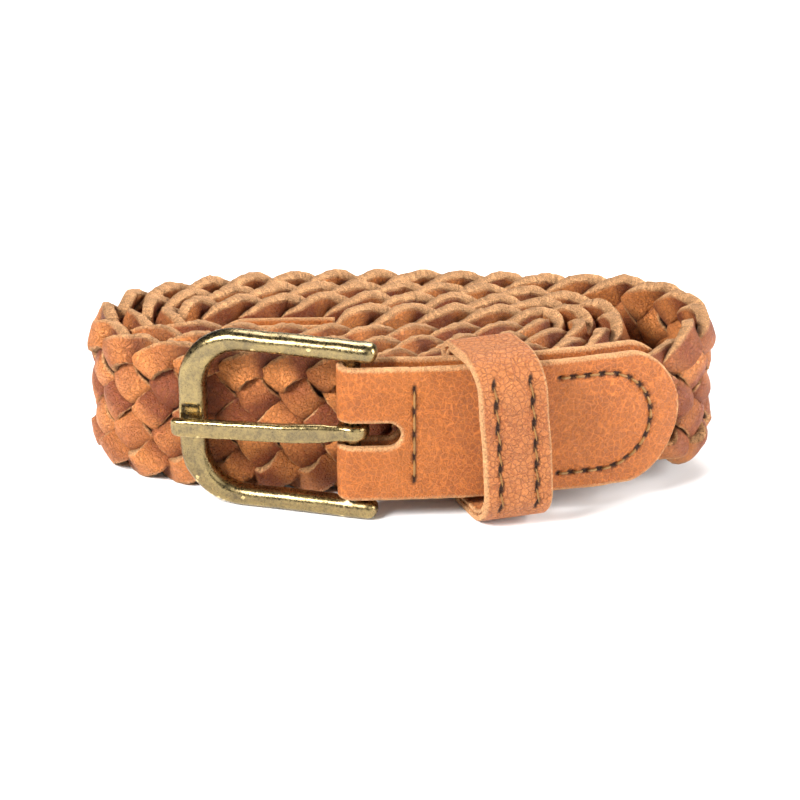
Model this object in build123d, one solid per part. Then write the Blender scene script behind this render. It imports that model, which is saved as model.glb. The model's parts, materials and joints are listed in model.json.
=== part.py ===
"""Braided leather belt, rolled up and standing on its edge, in millimetres.

+Z is up, X is the length of the coil and the buckle is at the front, towards -Y.
The strap's middle line is a flat spiral.  A point of the strap is given by its
distance s along that line, its height z and its offset o towards the outside.
"""

import os
from math import cos, degrees, hypot, pi, radians, sin, tan

import numpy as np
from build123d import *

# ---- the rolled strap ----------------------------------------------------
COIL_HALF_WIDTH = 67.6      # middle line of the outermost turn, along X
COIL_HALF_DEPTH = 28.6      # middle line of the outermost turn, along Y
COIL_PITCH = 6.95           # from one turn to the next one inside it
COIL_ROUNDNESS = 0.52       # share of the half depth that is the round ends' radius
FRONT_ROUNDNESS = 0.36      # the same where the roll starts, behind the buckle
LOOSE_STEP = 9.0            # the second turn stops this much short at the right
FRONT_SHIFT = 17.0          # the first front pass is flat this far to the left
FRONT_LIFT = 4.9            # the tab stands this much further out than a turn
COIL_START = -0.006         # turns before the front centre line
COIL_END = 3.66             # turns from the front centre line to the strap's tip
FRONT_TURNS = (0.12, 0.45)  # over these turns the front's shape fades out
LOOSE_TURNS = (0.75, 1.25)  # over these the second turn's step comes in
LIFT_TURNS = (0.05, 0.40)   # over these the tab's lift goes down

# ---- the six-strand flat braid -------------------------------------------
STRANDS = 6
STRAND_STEP = 4.75          # along the strap from one crossing to the next
ROW_HEIGHT = 5.65           # between two rows of crossings
EDGE_RISE = 2.75            # a strand's middle line above the outermost crossings
STRAND_WIDTH = 5.0
STRAND_THICKNESS = 2.3
CROSSING_OFFSET = 1.42      # a strand's middle from the strap's middle at a crossing
SKIVED_SHARE = 0.62         # thickness left where the strands lie inside a tab
SKIVE_EASE = 9.0            # length over which the braid thins

# ---- the buckle tab ------------------------------------------------------
TAB_WIDTH = 30.0
TAB_LEATHER = 1.7
TAB_LENGTH = 69.5           # from the bar's axis to the rounded end in front
TAB_BACK_EXTRA = 2.2        # the rear layer shows this much past the front one
TAB_POINT = 12.0            # length of the rounded point
TAB_BASE = 5.0              # lower edge above the ground
BAR_X = -7.0                # the bar's axis, before the coil is centred
CROSS_STITCH_AT = 12.5      # from the bar's axis
SLOT_REACH = 9.8            # oblong hole for the prong, from the bar's axis
SLOT_HEIGHT = 5.6

# ---- the buckle ----------------------------------------------------------
FRAME_HEIGHT = 40.0
FRAME_REACH = 38.2          # from the bar's axis to the far end's outside
FRAME_HEEL = 5.2            # from the bar's axis to the ends of the legs
LEG_HEIGHT = 4.3
END_WIDTH = 6.0
FRAME_DEPTH = 5.0
FRAME_CORNER = 13.0
FRAME_ROUND = 1.9
FRAME_ANGLE = 14.8          # the frame leans back by this angle at rest
BAR_RADIUS = 1.7
RUNNING_FIT = 0.2           # radial play of the prong's eye on the bar
FOLD_FIT = 0.1              # radial play of the leather fold round the bar
REST_LENGTH = 4.4
REST_HEIGHT = 3.8
REST_DEPTH = 0.9
REST_RAISE = 0.7            # the prong's rest above the frame's middle
PRONG_WIDTH = 4.1
PRONG_THICKNESS = 2.5
PRONG_EYE_WALL = 1.55
PRONG_OVERHANG = 0.9
PRONG_DROOP = 3.0           # the prong hangs by this angle, in degrees
PRONG_GAP = 0.3             # between the prong and the frame it lies on
PRONG_SHOULDER = 1.2        # the blade leaves the eye this far past the bar's axis
PRONG_STEP = 0.4            # its lower side there, above the eye's outside
PRONG_SINK = 0.25           # its upper side there, below the eye's outside
PRONG_CROWN = 0.35          # share of the reach where the blade's back is straight
PRONG_TAPER = 0.95          # thickness there, as a share
PRONG_NOSE = 1.5            # length of the bevel at the free end
PRONG_NOSE_DROP = 0.9
PRONG_BELLY = 0.5           # share of the reach where the lower side rises to the eye
PRONG_HOLLOW = 2.5          # past the eye, the lower side is down here
PRONG_HOLLOW_DROP = 0.9
PRONG_ROUND = 0.6
PRONG_EYE_ROUND = 1.0

# ---- the keeper ----------------------------------------------------------
KEEPER_AT = 31.5            # from the bar's axis
KEEPER_WIDTH = 14.0
KEEPER_OUTER_LEATHER = 1.5
KEEPER_LINING_LEATHER = 1.1
KEEPER_CORNER = 1.8         # at the back
KEEPER_FRONT_CORNER = 4.8
KEEPER_SHEAR = 15.0         # degrees: the back lies this far to the buckle's side
KEEPER_BACK_PLAY = 0.72     # behind the tab
KEEPER_ROOM = 5.0           # in front of the tab, for the strap's end
KEEPER_SKEW = 4.0           # degrees, in the plane of the tab
KEEPER_HEIGHT = 38.4
SEAM_INSET = 3.2            # keeper seams from the keeper's edges

# ---- the tip -------------------------------------------------------------
TIP_LENGTH = 30.0
TIP_WIDTH = 25.0
TIP_LEATHER = 1.0
EDGE_COVER = 4.0            # a tab is this much wider than the braid inside it
TIP_POINT = 10.0
TIP_OVERLAP = 18.0          # length of braid inside the tip
TIP_GAP = 0.1               # between the braid and the tip's leathers
TIP_CLOSED = 3.0            # length at the very end where the leathers lie together
TIP_MEET = 0.03             # half the play left between them there
TIP_SAMPLES = 16            # points along each of their edges

# ---- thread --------------------------------------------------------------
THREAD = 0.7
THREAD_PROUD = 0.45
STITCH_GAP = 0.04           # between a stitch and the leather under it
STITCH_SHARE = 0.74         # of the pitch, that the thread lies on top
END_PITCH = 3.1
END_INSET = 4.0             # D seam from the tab's long edges
END_SETBACK = 6.8           # D seam from the tab's rounded end
END_START = 40.0            # where its straight rows begin
KEEPER_PITCH = 4.8
CROSS_PITCH = 5.2
TIP_PITCH = 3.4
CROSS_MARGIN = 2.5          # leather left above and below the cross stitch
TIP_SEAM_INSET = 3.0
POINT_BULGE = 0.28          # where a rounded point passes, as shares of its length
POINT_HALF = 0.72           # and of its half width
COVER_EDGE = 4.0            # the braid is skived this far inside a tab's end

ANGLE_SAMPLES = 6001
ANGLE_STEP = 1e-4
LIFT_START = 78.0           # along the strap: the braid starts to come down here
LIFT_END = 150.0            # and rests on the ground from here

BAR_GAP = 2 * (BAR_RADIUS + FOLD_FIT)          # between the tab's two layers
TAB_HALF = BAR_GAP / 2 + TAB_LEATHER
BRAID_HALF = (STRANDS - 2) / 2 * ROW_HEIGHT + EDGE_RISE + STRAND_WIDTH / 2
TAB_MIDDLE = TAB_BASE + TAB_WIDTH / 2
FRAME_MIDDLE = FRAME_HEIGHT / 2
TIP_INNER = (CROSSING_OFFSET + STRAND_THICKNESS / 2) * SKIVED_SHARE + TIP_GAP
TIP_OUTER = TIP_INNER + TIP_LEATHER


def ease(value, start, stop):
    """Smooth step from 0 at start to 1 at stop."""
    share = np.clip((value - start) / (stop - start), 0.0, 1.0)
    return share**3 * (share * (6 * share - 15) + 10)


class Coil:
    """The flat spiral, worked out from its distance to the centre at each angle."""

    def __init__(self):
        turns = np.linspace(COIL_START, COIL_END, ANGLE_SAMPLES)
        self.angle = 2 * pi * turns - pi / 2
        here = self.reach(self.angle)
        ahead = self.reach(self.angle + ANGLE_STEP)
        behind = self.reach(self.angle - ANGLE_STEP)
        slope = (ahead - behind) / (2 * ANGLE_STEP)
        radius = here + (ahead - 2 * here + behind) / ANGLE_STEP**2
        self.x = here * np.cos(self.angle) - slope * np.sin(self.angle)
        self.y = here * np.sin(self.angle) + slope * np.cos(self.angle)
        steps = 0.5 * (radius[1:] + radius[:-1]) * np.diff(self.angle)
        self.s = np.concatenate([[0.0], np.cumsum(steps)])
        first = self.angle < 0
        bar = np.interp(BAR_X, self.x[first], self.s[first])
        self.s = self.s - bar
        self.length = self.s[-1]

    @staticmethod
    def reach(angle):
        """Distance from the centre to the tangent line at an angle."""
        turn = (angle + pi / 2) / (2 * pi)
        begin = 1 - ease(turn, *FRONT_TURNS)
        step = LOOSE_STEP * ease(turn, *LOOSE_TURNS)
        shift = FRONT_SHIFT * begin
        half_depth = COIL_HALF_DEPTH - COIL_PITCH * turn
        half_width = COIL_HALF_WIDTH - COIL_PITCH * turn
        roundness = COIL_ROUNDNESS * (1 - begin) + FRONT_ROUNDNESS * begin
        radius = roundness * half_depth
        flat = half_width - radius - step / 2 + shift
        ellipse = np.hypot(flat * np.cos(angle), (half_depth - radius) * np.sin(angle))
        lift = FRONT_LIFT * (1 - ease(turn, *LIFT_TURNS))
        return ellipse + radius - (step / 2 + shift) * np.cos(angle) + lift

    def heading(self, s):
        """Angle of the outward normal at s."""
        return float(np.interp(s, self.s, self.angle))

    def point(self, s, z=0.0, o=0.0):
        """Place of (s, z, o)."""
        inside = min(max(s, self.s[0]), self.length)
        angle = self.heading(inside)
        x = float(np.interp(inside, self.s, self.x)) + o * cos(angle)
        y = float(np.interp(inside, self.s, self.y)) + o * sin(angle)
        beyond = s - inside
        return Vector(x - beyond * sin(angle), y + beyond * cos(angle), z)

    def plane(self, s, z=0.0, o=0.0):
        """Plane whose x runs along the strap, y up and z outwards."""
        angle = self.heading(s)
        along = Vector(-sin(angle), cos(angle), 0)
        outwards = Vector(cos(angle), sin(angle), 0)
        return Plane(origin=self.point(s, z, o), x_dir=-along, z_dir=outwards)


COIL = Coil()
TIP_END = COIL.length
TIP_START = TIP_END - TIP_LENGTH
BRAID_START = CROSS_STITCH_AT + THREAD
BRAID_END = TIP_START + TIP_OVERLAP


def braid_middle(s):
    """Height of the strap's middle line at s."""
    raised = TAB_MIDDLE - BRAID_HALF
    return BRAID_HALF + raised * (1 - float(ease(s, LIFT_START, LIFT_END)))


def in_tabs(s):
    """1 where the braid lies inside a tab, 0 where it is free."""
    leaves = TAB_LENGTH - COVER_EDGE
    enters = TIP_START + COVER_EDGE
    near_tab = 1 - float(ease(s, leaves, leaves + SKIVE_EASE))
    near_tip = float(ease(s, enters - SKIVE_EASE, enters))
    return max(near_tab, near_tip)


# ---- strands -------------------------------------------------------------

def strand_stations(number):
    """Middle-line stations (s, height from the middle, offset) of one strand."""
    rows = STRANDS - 1
    cycle = 2 * STRANDS
    first = int(BRAID_START / STRAND_STEP) - cycle
    last = int(BRAID_END / STRAND_STEP) + cycle
    stations = []
    for index in range(first, last):
        phase = (index - 2 * number) % cycle
        s = index * STRAND_STEP
        rising = phase < STRANDS
        row = phase if rising else cycle - phase
        if phase in (0, STRANDS):
            side = -1 if phase == 0 else 1
            height = side * (rows - 1) / 2 * ROW_HEIGHT + side * EDGE_RISE
            stations.append((s, height, 0.0))
            continue
        height = (row - (rows + 1) / 2) * ROW_HEIGHT
        on_top = (row % 2 == 1) == rising
        stations.append((s, height, CROSSING_OFFSET if on_top else -CROSSING_OFFSET))
    inside = [p for p in stations if BRAID_START <= p[0] <= BRAID_END]
    return inside


def strand_rings(number):
    """Four-cornered rings of points along one strand, thin at its cut edges."""
    stations = strand_stations(number)
    rings = []
    for place, (s, height, offset) in enumerate(stations):
        before = stations[max(place - 1, 0)]
        after = stations[min(place + 1, len(stations) - 1)]
        ds = after[0] - before[0]
        dz = after[1] - before[1]
        size = hypot(ds, dz)
        across = (-dz / size, ds / size)
        skived = in_tabs(s)
        thin = 1 - (1 - SKIVED_SHARE) * skived
        cover = TIP_WIDTH if s > TIP_START - SKIVE_EASE else TAB_WIDTH
        narrow = 1 - (1 - (cover - EDGE_COVER) / (2 * BRAID_HALF)) * skived
        ring = []
        section = (
            (-STRAND_WIDTH / 2, 0.0),
            (0.0, STRAND_THICKNESS / 2),
            (STRAND_WIDTH / 2, 0.0),
            (0.0, -STRAND_THICKNESS / 2),
        )
        for side, thick in section:
            corner_s = s + side * across[0]
            corner_z = braid_middle(s) + (height + side * across[1]) * narrow
            ring.append(COIL.point(corner_s, corner_z, (offset + thick) * thin))
        rings.append(ring)
    return rings


def flat_triangle(a, b, c):
    return Face(Wire.make_polygon([a, b, c]))


def make_strand(number):
    """One strand as a closed solid with flat faces."""
    rings = strand_rings(number)
    faces = []
    for near, far in zip(rings, rings[1:]):
        for corner in range(len(near)):
            after = (corner + 1) % len(near)
            faces.append(flat_triangle(near[corner], near[after], far[after]))
            faces.append(flat_triangle(near[corner], far[after], far[corner]))
    for ring in (rings[0], rings[-1]):
        for corner in range(1, len(ring) - 1):
            faces.append(flat_triangle(ring[0], ring[corner], ring[corner + 1]))
    return Solid(Shell(faces))


# ---- leather that follows the strap --------------------------------------

def side_line(start, stop, offset, count=9):
    """Smooth edge along the strap at an offset, fixed or changing along it."""
    places = [float(s) for s in np.linspace(start, stop, count)]
    offsets = [offset(s) if callable(offset) else offset for s in places]
    return Spline([COIL.point(s, 0, o) for s, o in zip(places, offsets)])


def layer(start, stop, low, high, base, height, count=9):
    """Sheet of leather between two offsets, standing on its edge."""
    inner = side_line(start, stop, low, count)
    outer = side_line(start, stop, high, count)
    near = Line(inner @ 0, outer @ 0)
    far = Line(inner @ 1, outer @ 1)
    face = make_face([inner, far, outer, near])
    return Pos(0, 0, base) * extrude(face, height, dir=(0, 0, 1))


def point_cutter(stop, point, width, middle):
    """What is taken off a strap's end to leave a rounded point."""
    plane = COIL.plane(stop - point / 2, middle)
    half = width / 2
    above = half + TAB_LEATHER
    corner = Spline(
        [(point / 2, half), (-point * POINT_BULGE, half * POINT_HALF), (-point / 2, 0)],
        tangents=[(-1, 0), (0, -1)],
    )
    outside = Polyline(
        (-point / 2, 0), (-point, 0), (-point, above), (point / 2, above), (point / 2, half)
    )
    upper = make_face([corner, outside])
    lower = upper.mirror(Plane.XZ)
    return [plane * extrude(face, 2 * TAB_HALF, both=True) for face in (upper, lower)]


def make_tab():
    """Strip folded round the bar, with the prong's hole and a rounded point."""
    inner = BAR_GAP / 2
    front = layer(0, TAB_LENGTH, inner, TAB_HALF, TAB_BASE, TAB_WIDTH)
    back = layer(0, TAB_LENGTH + TAB_BACK_EXTRA, -TAB_HALF, -inner, TAB_BASE, TAB_WIDTH)
    for cutter in point_cutter(TAB_LENGTH, TAB_POINT, TAB_WIDTH, TAB_MIDDLE):
        front -= cutter
    back_end = TAB_LENGTH + TAB_BACK_EXTRA
    for cutter in point_cutter(back_end, TAB_POINT, TAB_WIDTH, TAB_MIDDLE):
        back -= cutter
    bar = COIL.point(0)
    ring = Cylinder(TAB_HALF, TAB_WIDTH) - Cylinder(inner, TAB_WIDTH)
    half_space = Box(2 * TAB_HALF, 2 * TAB_HALF, TAB_WIDTH)
    ring = ring & Pos(-TAB_HALF, 0, 0) * half_space
    turned = Rot(0, 0, degrees(COIL.heading(0)) + 90) * ring
    fold = Pos(bar.X, bar.Y, TAB_MIDDLE) * turned
    tab = front + fold + back
    slot = SlotOverall(2 * SLOT_REACH, SLOT_HEIGHT)
    cutter = COIL.plane(0, FRAME_MIDDLE) * extrude(slot, 3 * TAB_HALF, both=True)
    return tab - cutter


# ---- stitches ------------------------------------------------------------

def stitch_on(s, z, offset, length, turn=0.0, outward=True):
    """One stitch lying on the leather, turned in the surface."""
    lift = offset + (STITCH_GAP + THREAD_PROUD / 2) * (1 if outward else -1)
    shape = Box(length, THREAD, THREAD_PROUD)
    return COIL.plane(s, z, lift) * (Rot(0, 0, turn) * shape)


def make_cross_stitch():
    """Upright row across the tab, on both of its faces."""
    count = int((TAB_WIDTH - 2 * CROSS_MARGIN) / CROSS_PITCH)
    length = CROSS_PITCH * STITCH_SHARE
    stitches = []
    for index in range(count):
        z = TAB_MIDDLE + (index - (count - 1) / 2) * CROSS_PITCH
        for offset, outward in ((TAB_HALF, True), (-TAB_HALF, False)):
            stitches.append(stitch_on(CROSS_STITCH_AT, z, offset, length, 90, outward))
    return stitches


def end_seam_points():
    """Middles and directions of the stitches of the D-shaped seam."""
    half = TAB_WIDTH / 2 - END_INSET
    straight = TAB_LENGTH - END_SETBACK - half
    points = []
    count = int((straight - END_START) / END_PITCH)
    for index in range(count):
        s = straight - (index + 0.5) * END_PITCH
        points.append((s, half, 0.0))
        points.append((s, -half, 0.0))
    arc = int(pi * half / END_PITCH)
    for index in range(arc):
        angle = pi / 2 - pi * (index + 0.5) / arc
        points.append((straight + half * cos(angle), half * sin(angle), degrees(angle) - 90))
    return points


def make_end_stitch():
    """Seam that holds the braid in the tab, on both faces."""
    stitches = []
    length = END_PITCH * STITCH_SHARE
    for s, height, turn in end_seam_points():
        z = TAB_MIDDLE + height
        for offset, outward in ((TAB_HALF, True), (-TAB_HALF, False)):
            stitches.append(stitch_on(s, z, offset, length, -turn, outward))
    return stitches


# ---- keeper --------------------------------------------------------------

def keeper_plane():
    """Plane across the tab at the keeper: x outwards, y up, z along the strap."""
    angle = COIL.heading(KEEPER_AT)
    outwards = Vector(cos(angle), sin(angle), 0)
    along = Vector(-sin(angle), cos(angle), 0)
    return Plane(origin=COIL.point(KEEPER_AT, FRAME_MIDDLE), x_dir=outwards, z_dir=-along)


KEEPER_INNER = KEEPER_OUTER_LEATHER + KEEPER_LINING_LEATHER
KEEPER_LOW = -(TAB_HALF + KEEPER_BACK_PLAY)     # inner face behind the tab
KEEPER_HIGH = TAB_HALF + KEEPER_ROOM            # inner face in front of it


def keeper_outline(outside):
    """Rounded outline at a distance outside the keeper's inner face."""
    lean = cos(radians(KEEPER_SHEAR))
    wide = (KEEPER_HIGH - KEEPER_LOW + 2 * outside) / lean
    tall = KEEPER_HEIGHT - 2 * KEEPER_INNER + 2 * outside
    outline = Rectangle(wide, tall)
    back = [v for v in outline.vertices() if v.X < 0]
    outline = fillet(back, KEEPER_CORNER + outside)
    front = [v for v in outline.vertices() if v.X > wide / 2 - STITCH_GAP]
    return fillet(front, KEEPER_FRONT_CORNER + outside)


def keeper_ring(outside, inside):
    """Closed band between two distances from the keeper's inner face."""
    lean = radians(KEEPER_SHEAR)
    middle = (KEEPER_LOW + KEEPER_HIGH) / 2
    back_shift = (KEEPER_HIGH - middle) * tan(lean)
    slanted = Plane(
        origin=(middle, 0, back_shift),
        x_dir=(cos(lean), 0, -sin(lean)),
        z_dir=(sin(lean), 0, cos(lean)),
    )
    profile = slanted * (keeper_outline(outside) - keeper_outline(inside))
    return extrude(profile, KEEPER_WIDTH / 2, dir=(0, 0, 1), both=True)


def place_keeper(shape):
    """The keeper sits a little askew on the tab."""
    return keeper_plane() * (Rot(KEEPER_SKEW, 0, 0) * shape)


def make_keeper_stitches(side):
    """One seam along an edge of the keeper, on its front."""
    tall = KEEPER_HEIGHT - 2 * KEEPER_FRONT_CORNER - 2 * KEEPER_INNER
    count = int(tall / KEEPER_PITCH)
    face = KEEPER_HIGH + KEEPER_INNER + STITCH_GAP + THREAD_PROUD / 2
    stitches = []
    for index in range(count):
        height = (index - (count - 1) / 2) * KEEPER_PITCH
        along = side * (KEEPER_WIDTH / 2 - SEAM_INSET)
        shape = Box(THREAD_PROUD, KEEPER_PITCH * STITCH_SHARE, THREAD)
        stitches.append(place_keeper(Pos(face, height, along) * shape))
    return stitches


# ---- buckle --------------------------------------------------------------

def buckle_plane():
    """Plane at the bar's axis: x to the buckle's far end, y outwards, z up."""
    bar = COIL.point(0)
    lean = radians(FRAME_ANGLE)
    return Plane(origin=(bar.X, bar.Y, 0), x_dir=(-cos(lean), sin(lean), 0), z_dir=(0, 0, 1))


def make_frame():
    """Heel-bar frame: a rounded U with the bar across its legs."""
    length = FRAME_REACH + FRAME_HEEL
    upright = Plane(origin=(0, 0, FRAME_MIDDLE), x_dir=(1, 0, 0), z_dir=(0, -1, 0))
    outer = Rectangle(length, FRAME_HEIGHT)
    outer = Pos(FRAME_REACH - length / 2, 0, 0) * outer
    far = [v for v in outer.vertices() if v.X > 0]
    outer = fillet(far, FRAME_CORNER)
    hole_length = length - END_WIDTH + FRAME_HEEL
    hole = Rectangle(hole_length, FRAME_HEIGHT - 2 * LEG_HEIGHT)
    hole = Pos(FRAME_REACH - END_WIDTH - hole_length / 2, 0, 0) * hole
    inside = [v for v in hole.vertices() if v.X > 0]
    hole = fillet(inside, FRAME_CORNER - LEG_HEIGHT)
    body = upright * extrude(outer - hole, FRAME_DEPTH / 2, both=True)
    body = fillet(body.edges(), FRAME_ROUND)
    bar = Pos(0, 0, FRAME_MIDDLE) * Cylinder(BAR_RADIUS, FRAME_HEIGHT - LEG_HEIGHT)
    body = body + bar
    rest_box = Box(REST_LENGTH, REST_DEPTH, REST_HEIGHT)
    rest_place = Pos(
        FRAME_REACH - END_WIDTH / 2,
        FRAME_DEPTH / 2 - REST_DEPTH / 2,
        FRAME_MIDDLE + REST_RAISE,
    )
    return buckle_plane() * (body - rest_place * rest_box)


def make_prong():
    """Prong with an eye round the bar, lying on the frame's far end."""
    eye_inside = BAR_RADIUS + RUNNING_FIT
    eye_outside = eye_inside + PRONG_EYE_WALL
    low = FRAME_DEPTH / 2 + PRONG_GAP
    reach = FRAME_REACH + PRONG_OVERHANG
    top = low + PRONG_THICKNESS
    profile = Polyline(
        (PRONG_SHOULDER, eye_outside - PRONG_THICKNESS + PRONG_STEP),
        (PRONG_SHOULDER, eye_outside - PRONG_SINK),
        (reach * PRONG_CROWN, low + PRONG_THICKNESS * PRONG_TAPER),
        (reach - PRONG_NOSE, top),
        (reach, top - PRONG_NOSE_DROP),
        (reach, low),
        (reach * PRONG_BELLY, low),
        (eye_outside + PRONG_HOLLOW, low - PRONG_HOLLOW_DROP),
        close=True,
    )
    side = make_face(profile)
    blade = extrude(side, PRONG_WIDTH / 2, both=True)
    long_edges = [e for e in blade.edges() if e.center().X > PRONG_SHOULDER + PRONG_ROUND]
    blade = fillet([e for e in long_edges if e.center().Z != 0], PRONG_ROUND)
    blade -= Cylinder(eye_inside, 4 * PRONG_WIDTH)
    blade = Rot(0, PRONG_DROOP, 0) * blade
    eye = Cylinder(eye_outside, PRONG_WIDTH)
    eye = fillet(eye.edges().filter_by(GeomType.CIRCLE), PRONG_EYE_ROUND)
    eye -= Cylinder(eye_inside, PRONG_WIDTH)
    prong = eye + (blade - Cylinder(eye_inside, 4 * PRONG_WIDTH))
    return buckle_plane() * (Pos(0, 0, FRAME_MIDDLE) * prong)


# ---- tip -----------------------------------------------------------------

def tip_inner(s):
    """Inner offset of the tip's leathers: past the braid's end they close up."""
    closing = float(ease(s, BRAID_END, TIP_END - TIP_CLOSED))
    return TIP_INNER - (TIP_INNER - TIP_MEET) * closing


def make_tip(side):
    """One face of the tip, with its rounded point."""
    def low(s):
        return side * tip_inner(s)

    def high(s):
        return side * (tip_inner(s) + TIP_LEATHER)
    base = BRAID_HALF - TIP_WIDTH / 2
    sheet = layer(TIP_START, TIP_END, low, high, base, TIP_WIDTH, TIP_SAMPLES)
    for cutter in point_cutter(TIP_END, TIP_POINT, TIP_WIDTH, BRAID_HALF):
        sheet -= cutter
    return sheet


def make_tip_stitch():
    """Seam round the tip on its two faces."""
    half = TIP_WIDTH / 2 - TIP_SEAM_INSET
    count = int((TIP_LENGTH - TIP_POINT - 2 * TIP_SEAM_INSET) / TIP_PITCH)
    length = TIP_PITCH * STITCH_SHARE
    stitches = []
    for index in range(count):
        s = TIP_START + TIP_SEAM_INSET + (index + 0.5) * TIP_PITCH
        for z in (BRAID_HALF + half, BRAID_HALF - half):
            for offset, outward in ((TIP_OUTER, True), (-TIP_OUTER, False)):
                stitches.append(stitch_on(s, z, offset, length, 0, outward))
    return stitches


def make_nodes():
    """Every piece of the belt, by name."""
    nodes = {}
    for number in range(STRANDS):
        nodes[f"strand_{number + 1}"] = [make_strand(number)]
    nodes["buckle_tab"] = [make_tab()]
    nodes["tab_cross_stitch"] = make_cross_stitch()
    nodes["tab_end_stitch"] = make_end_stitch()
    nodes["keeper_outer"] = [place_keeper(keeper_ring(KEEPER_INNER, KEEPER_LINING_LEATHER))]
    nodes["keeper_lining"] = [place_keeper(keeper_ring(KEEPER_LINING_LEATHER, 0.0))]
    nodes["keeper_stitch_left"] = make_keeper_stitches(1)
    nodes["keeper_stitch_right"] = make_keeper_stitches(-1)
    nodes["buckle_frame"] = [make_frame()]
    nodes["prong"] = [make_prong()]
    nodes["tip_front"] = [make_tip(1)]
    nodes["tip_back"] = [make_tip(-1)]
    nodes["tip_stitch"] = make_tip_stitch()
    return nodes


def main():
    """Build, centre on the ground and write one file for each piece."""
    nodes = make_nodes()
    solids = {}
    for name, shapes in nodes.items():
        solids[name] = [solid for shape in shapes for solid in shape.solids()]
    box = Compound(children=[s for group in solids.values() for s in group]).bounding_box()
    shift = Vector(-(box.min.X + box.max.X) / 2, -(box.min.Y + box.max.Y) / 2, -box.min.Z)
    os.makedirs("parts", exist_ok=True)
    for name, group in solids.items():
        moved = [solid.translate(shift) for solid in group]
        export_step(Compound(children=moved), f"parts/{name}.step")
    bar = COIL.point(0) + shift
    keeper = COIL.point(KEEPER_AT, FRAME_MIDDLE) + shift
    angle = COIL.heading(KEEPER_AT)
    print("strap length", COIL.length, "bar axis", bar, "shift", shift)
    print("keeper", keeper, "slides along", -sin(angle), cos(angle))
    print("size", box.size)


main()
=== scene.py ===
"""Braided leather belt, rolled up on its edge: the visual model.

The strap's middle line is a flat spiral.  A point of the strap is given by its distance s
along that line, its height z and its offset o towards the outside, all in millimetres, and
is set into the frame, in metres, through the buckle bar's axis.
"""

import json
import logging
from dataclasses import dataclass, field
from enum import Enum
from math import cos, pi, radians, sin, tan

import bpy
import numpy as np
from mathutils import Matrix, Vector

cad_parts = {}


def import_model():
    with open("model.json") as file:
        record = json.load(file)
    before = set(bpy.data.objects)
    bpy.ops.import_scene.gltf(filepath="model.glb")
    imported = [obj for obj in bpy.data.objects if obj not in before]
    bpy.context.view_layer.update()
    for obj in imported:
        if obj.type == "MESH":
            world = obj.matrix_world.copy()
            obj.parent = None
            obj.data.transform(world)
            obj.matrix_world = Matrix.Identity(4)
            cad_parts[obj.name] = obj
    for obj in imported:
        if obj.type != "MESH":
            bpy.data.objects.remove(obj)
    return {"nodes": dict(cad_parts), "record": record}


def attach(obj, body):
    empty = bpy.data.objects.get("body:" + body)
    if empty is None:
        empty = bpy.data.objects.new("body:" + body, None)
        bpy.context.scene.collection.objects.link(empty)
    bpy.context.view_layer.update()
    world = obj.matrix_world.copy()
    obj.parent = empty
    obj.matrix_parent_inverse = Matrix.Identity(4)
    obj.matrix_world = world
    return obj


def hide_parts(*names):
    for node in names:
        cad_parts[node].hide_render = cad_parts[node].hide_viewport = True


LOG = logging.getLogger("belt")
MM = 0.001
Array = np.ndarray
Colour = tuple[float, float, float]
Span = tuple[float, float]


class Face(Enum):
    """The two faces of the strap."""

    OUTER = 1
    INNER = -1


def ease(value: Array, start: float, stop: float) -> Array:
    """Smooth step from 0 at start to 1 at stop.

    Args:
        value: where the step is wanted.
        start: up to here the result is 0.
        stop: from here on it is 1.

    Returns:
        Numbers from 0 to 1.
    """
    share = np.clip((np.asarray(value, float) - start) / (stop - start), 0.0, 1.0)
    return share**3 * (share * (6 * share - 15) + 10)


def grit(*places: Array) -> Array:
    """Coarse grains between -1 and 1 that depend only on where they are.

    Args:
        places: one array for each coordinate.

    Returns:
        One grain for each place, by the usual sine hash.
    """
    mixed = sum(place * (127.1 + 184.6 * index) for index, place in enumerate(places))
    value = np.sin(mixed) * 43758.5453
    return 2 * (value - np.floor(value)) - 1


def wander(place: Array, seed: float, wave: float) -> Array:
    """Smooth irregular curve between about -1 and 1.

    Args:
        place: distances at which the curve is wanted.
        seed: a number that makes one curve unlike another.
        wave: the typical wavelength, in the unit of place.

    Returns:
        The curve at each place, a sum of three sines that never fall in step.
    """
    turn = 2 * pi * np.asarray(place, float) / wave
    first = np.sin(turn + 1.7 * seed)
    second = np.sin(0.61 * turn + 2.9 * seed + 0.4)
    third = np.sin(1.83 * turn + 4.1 * seed + 1.1)
    return (first + second + 0.6 * third) / 2.2


@dataclass(frozen=True)
class Swing:
    """An irregular swing: how far it goes, which one it is and its typical wavelength."""

    reach: float
    seed: float
    wave: float
    seed_step: float = 0.0

    def at(self, place: Array, number: int = 0) -> Array:
        """The swing at some places.

        Args:
            place: distances at which it is wanted.
            number: which of several like pieces it is for.

        Returns:
            The swing at each place.
        """
        return self.reach * wander(place, number * self.seed_step + self.seed, self.wave)


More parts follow.
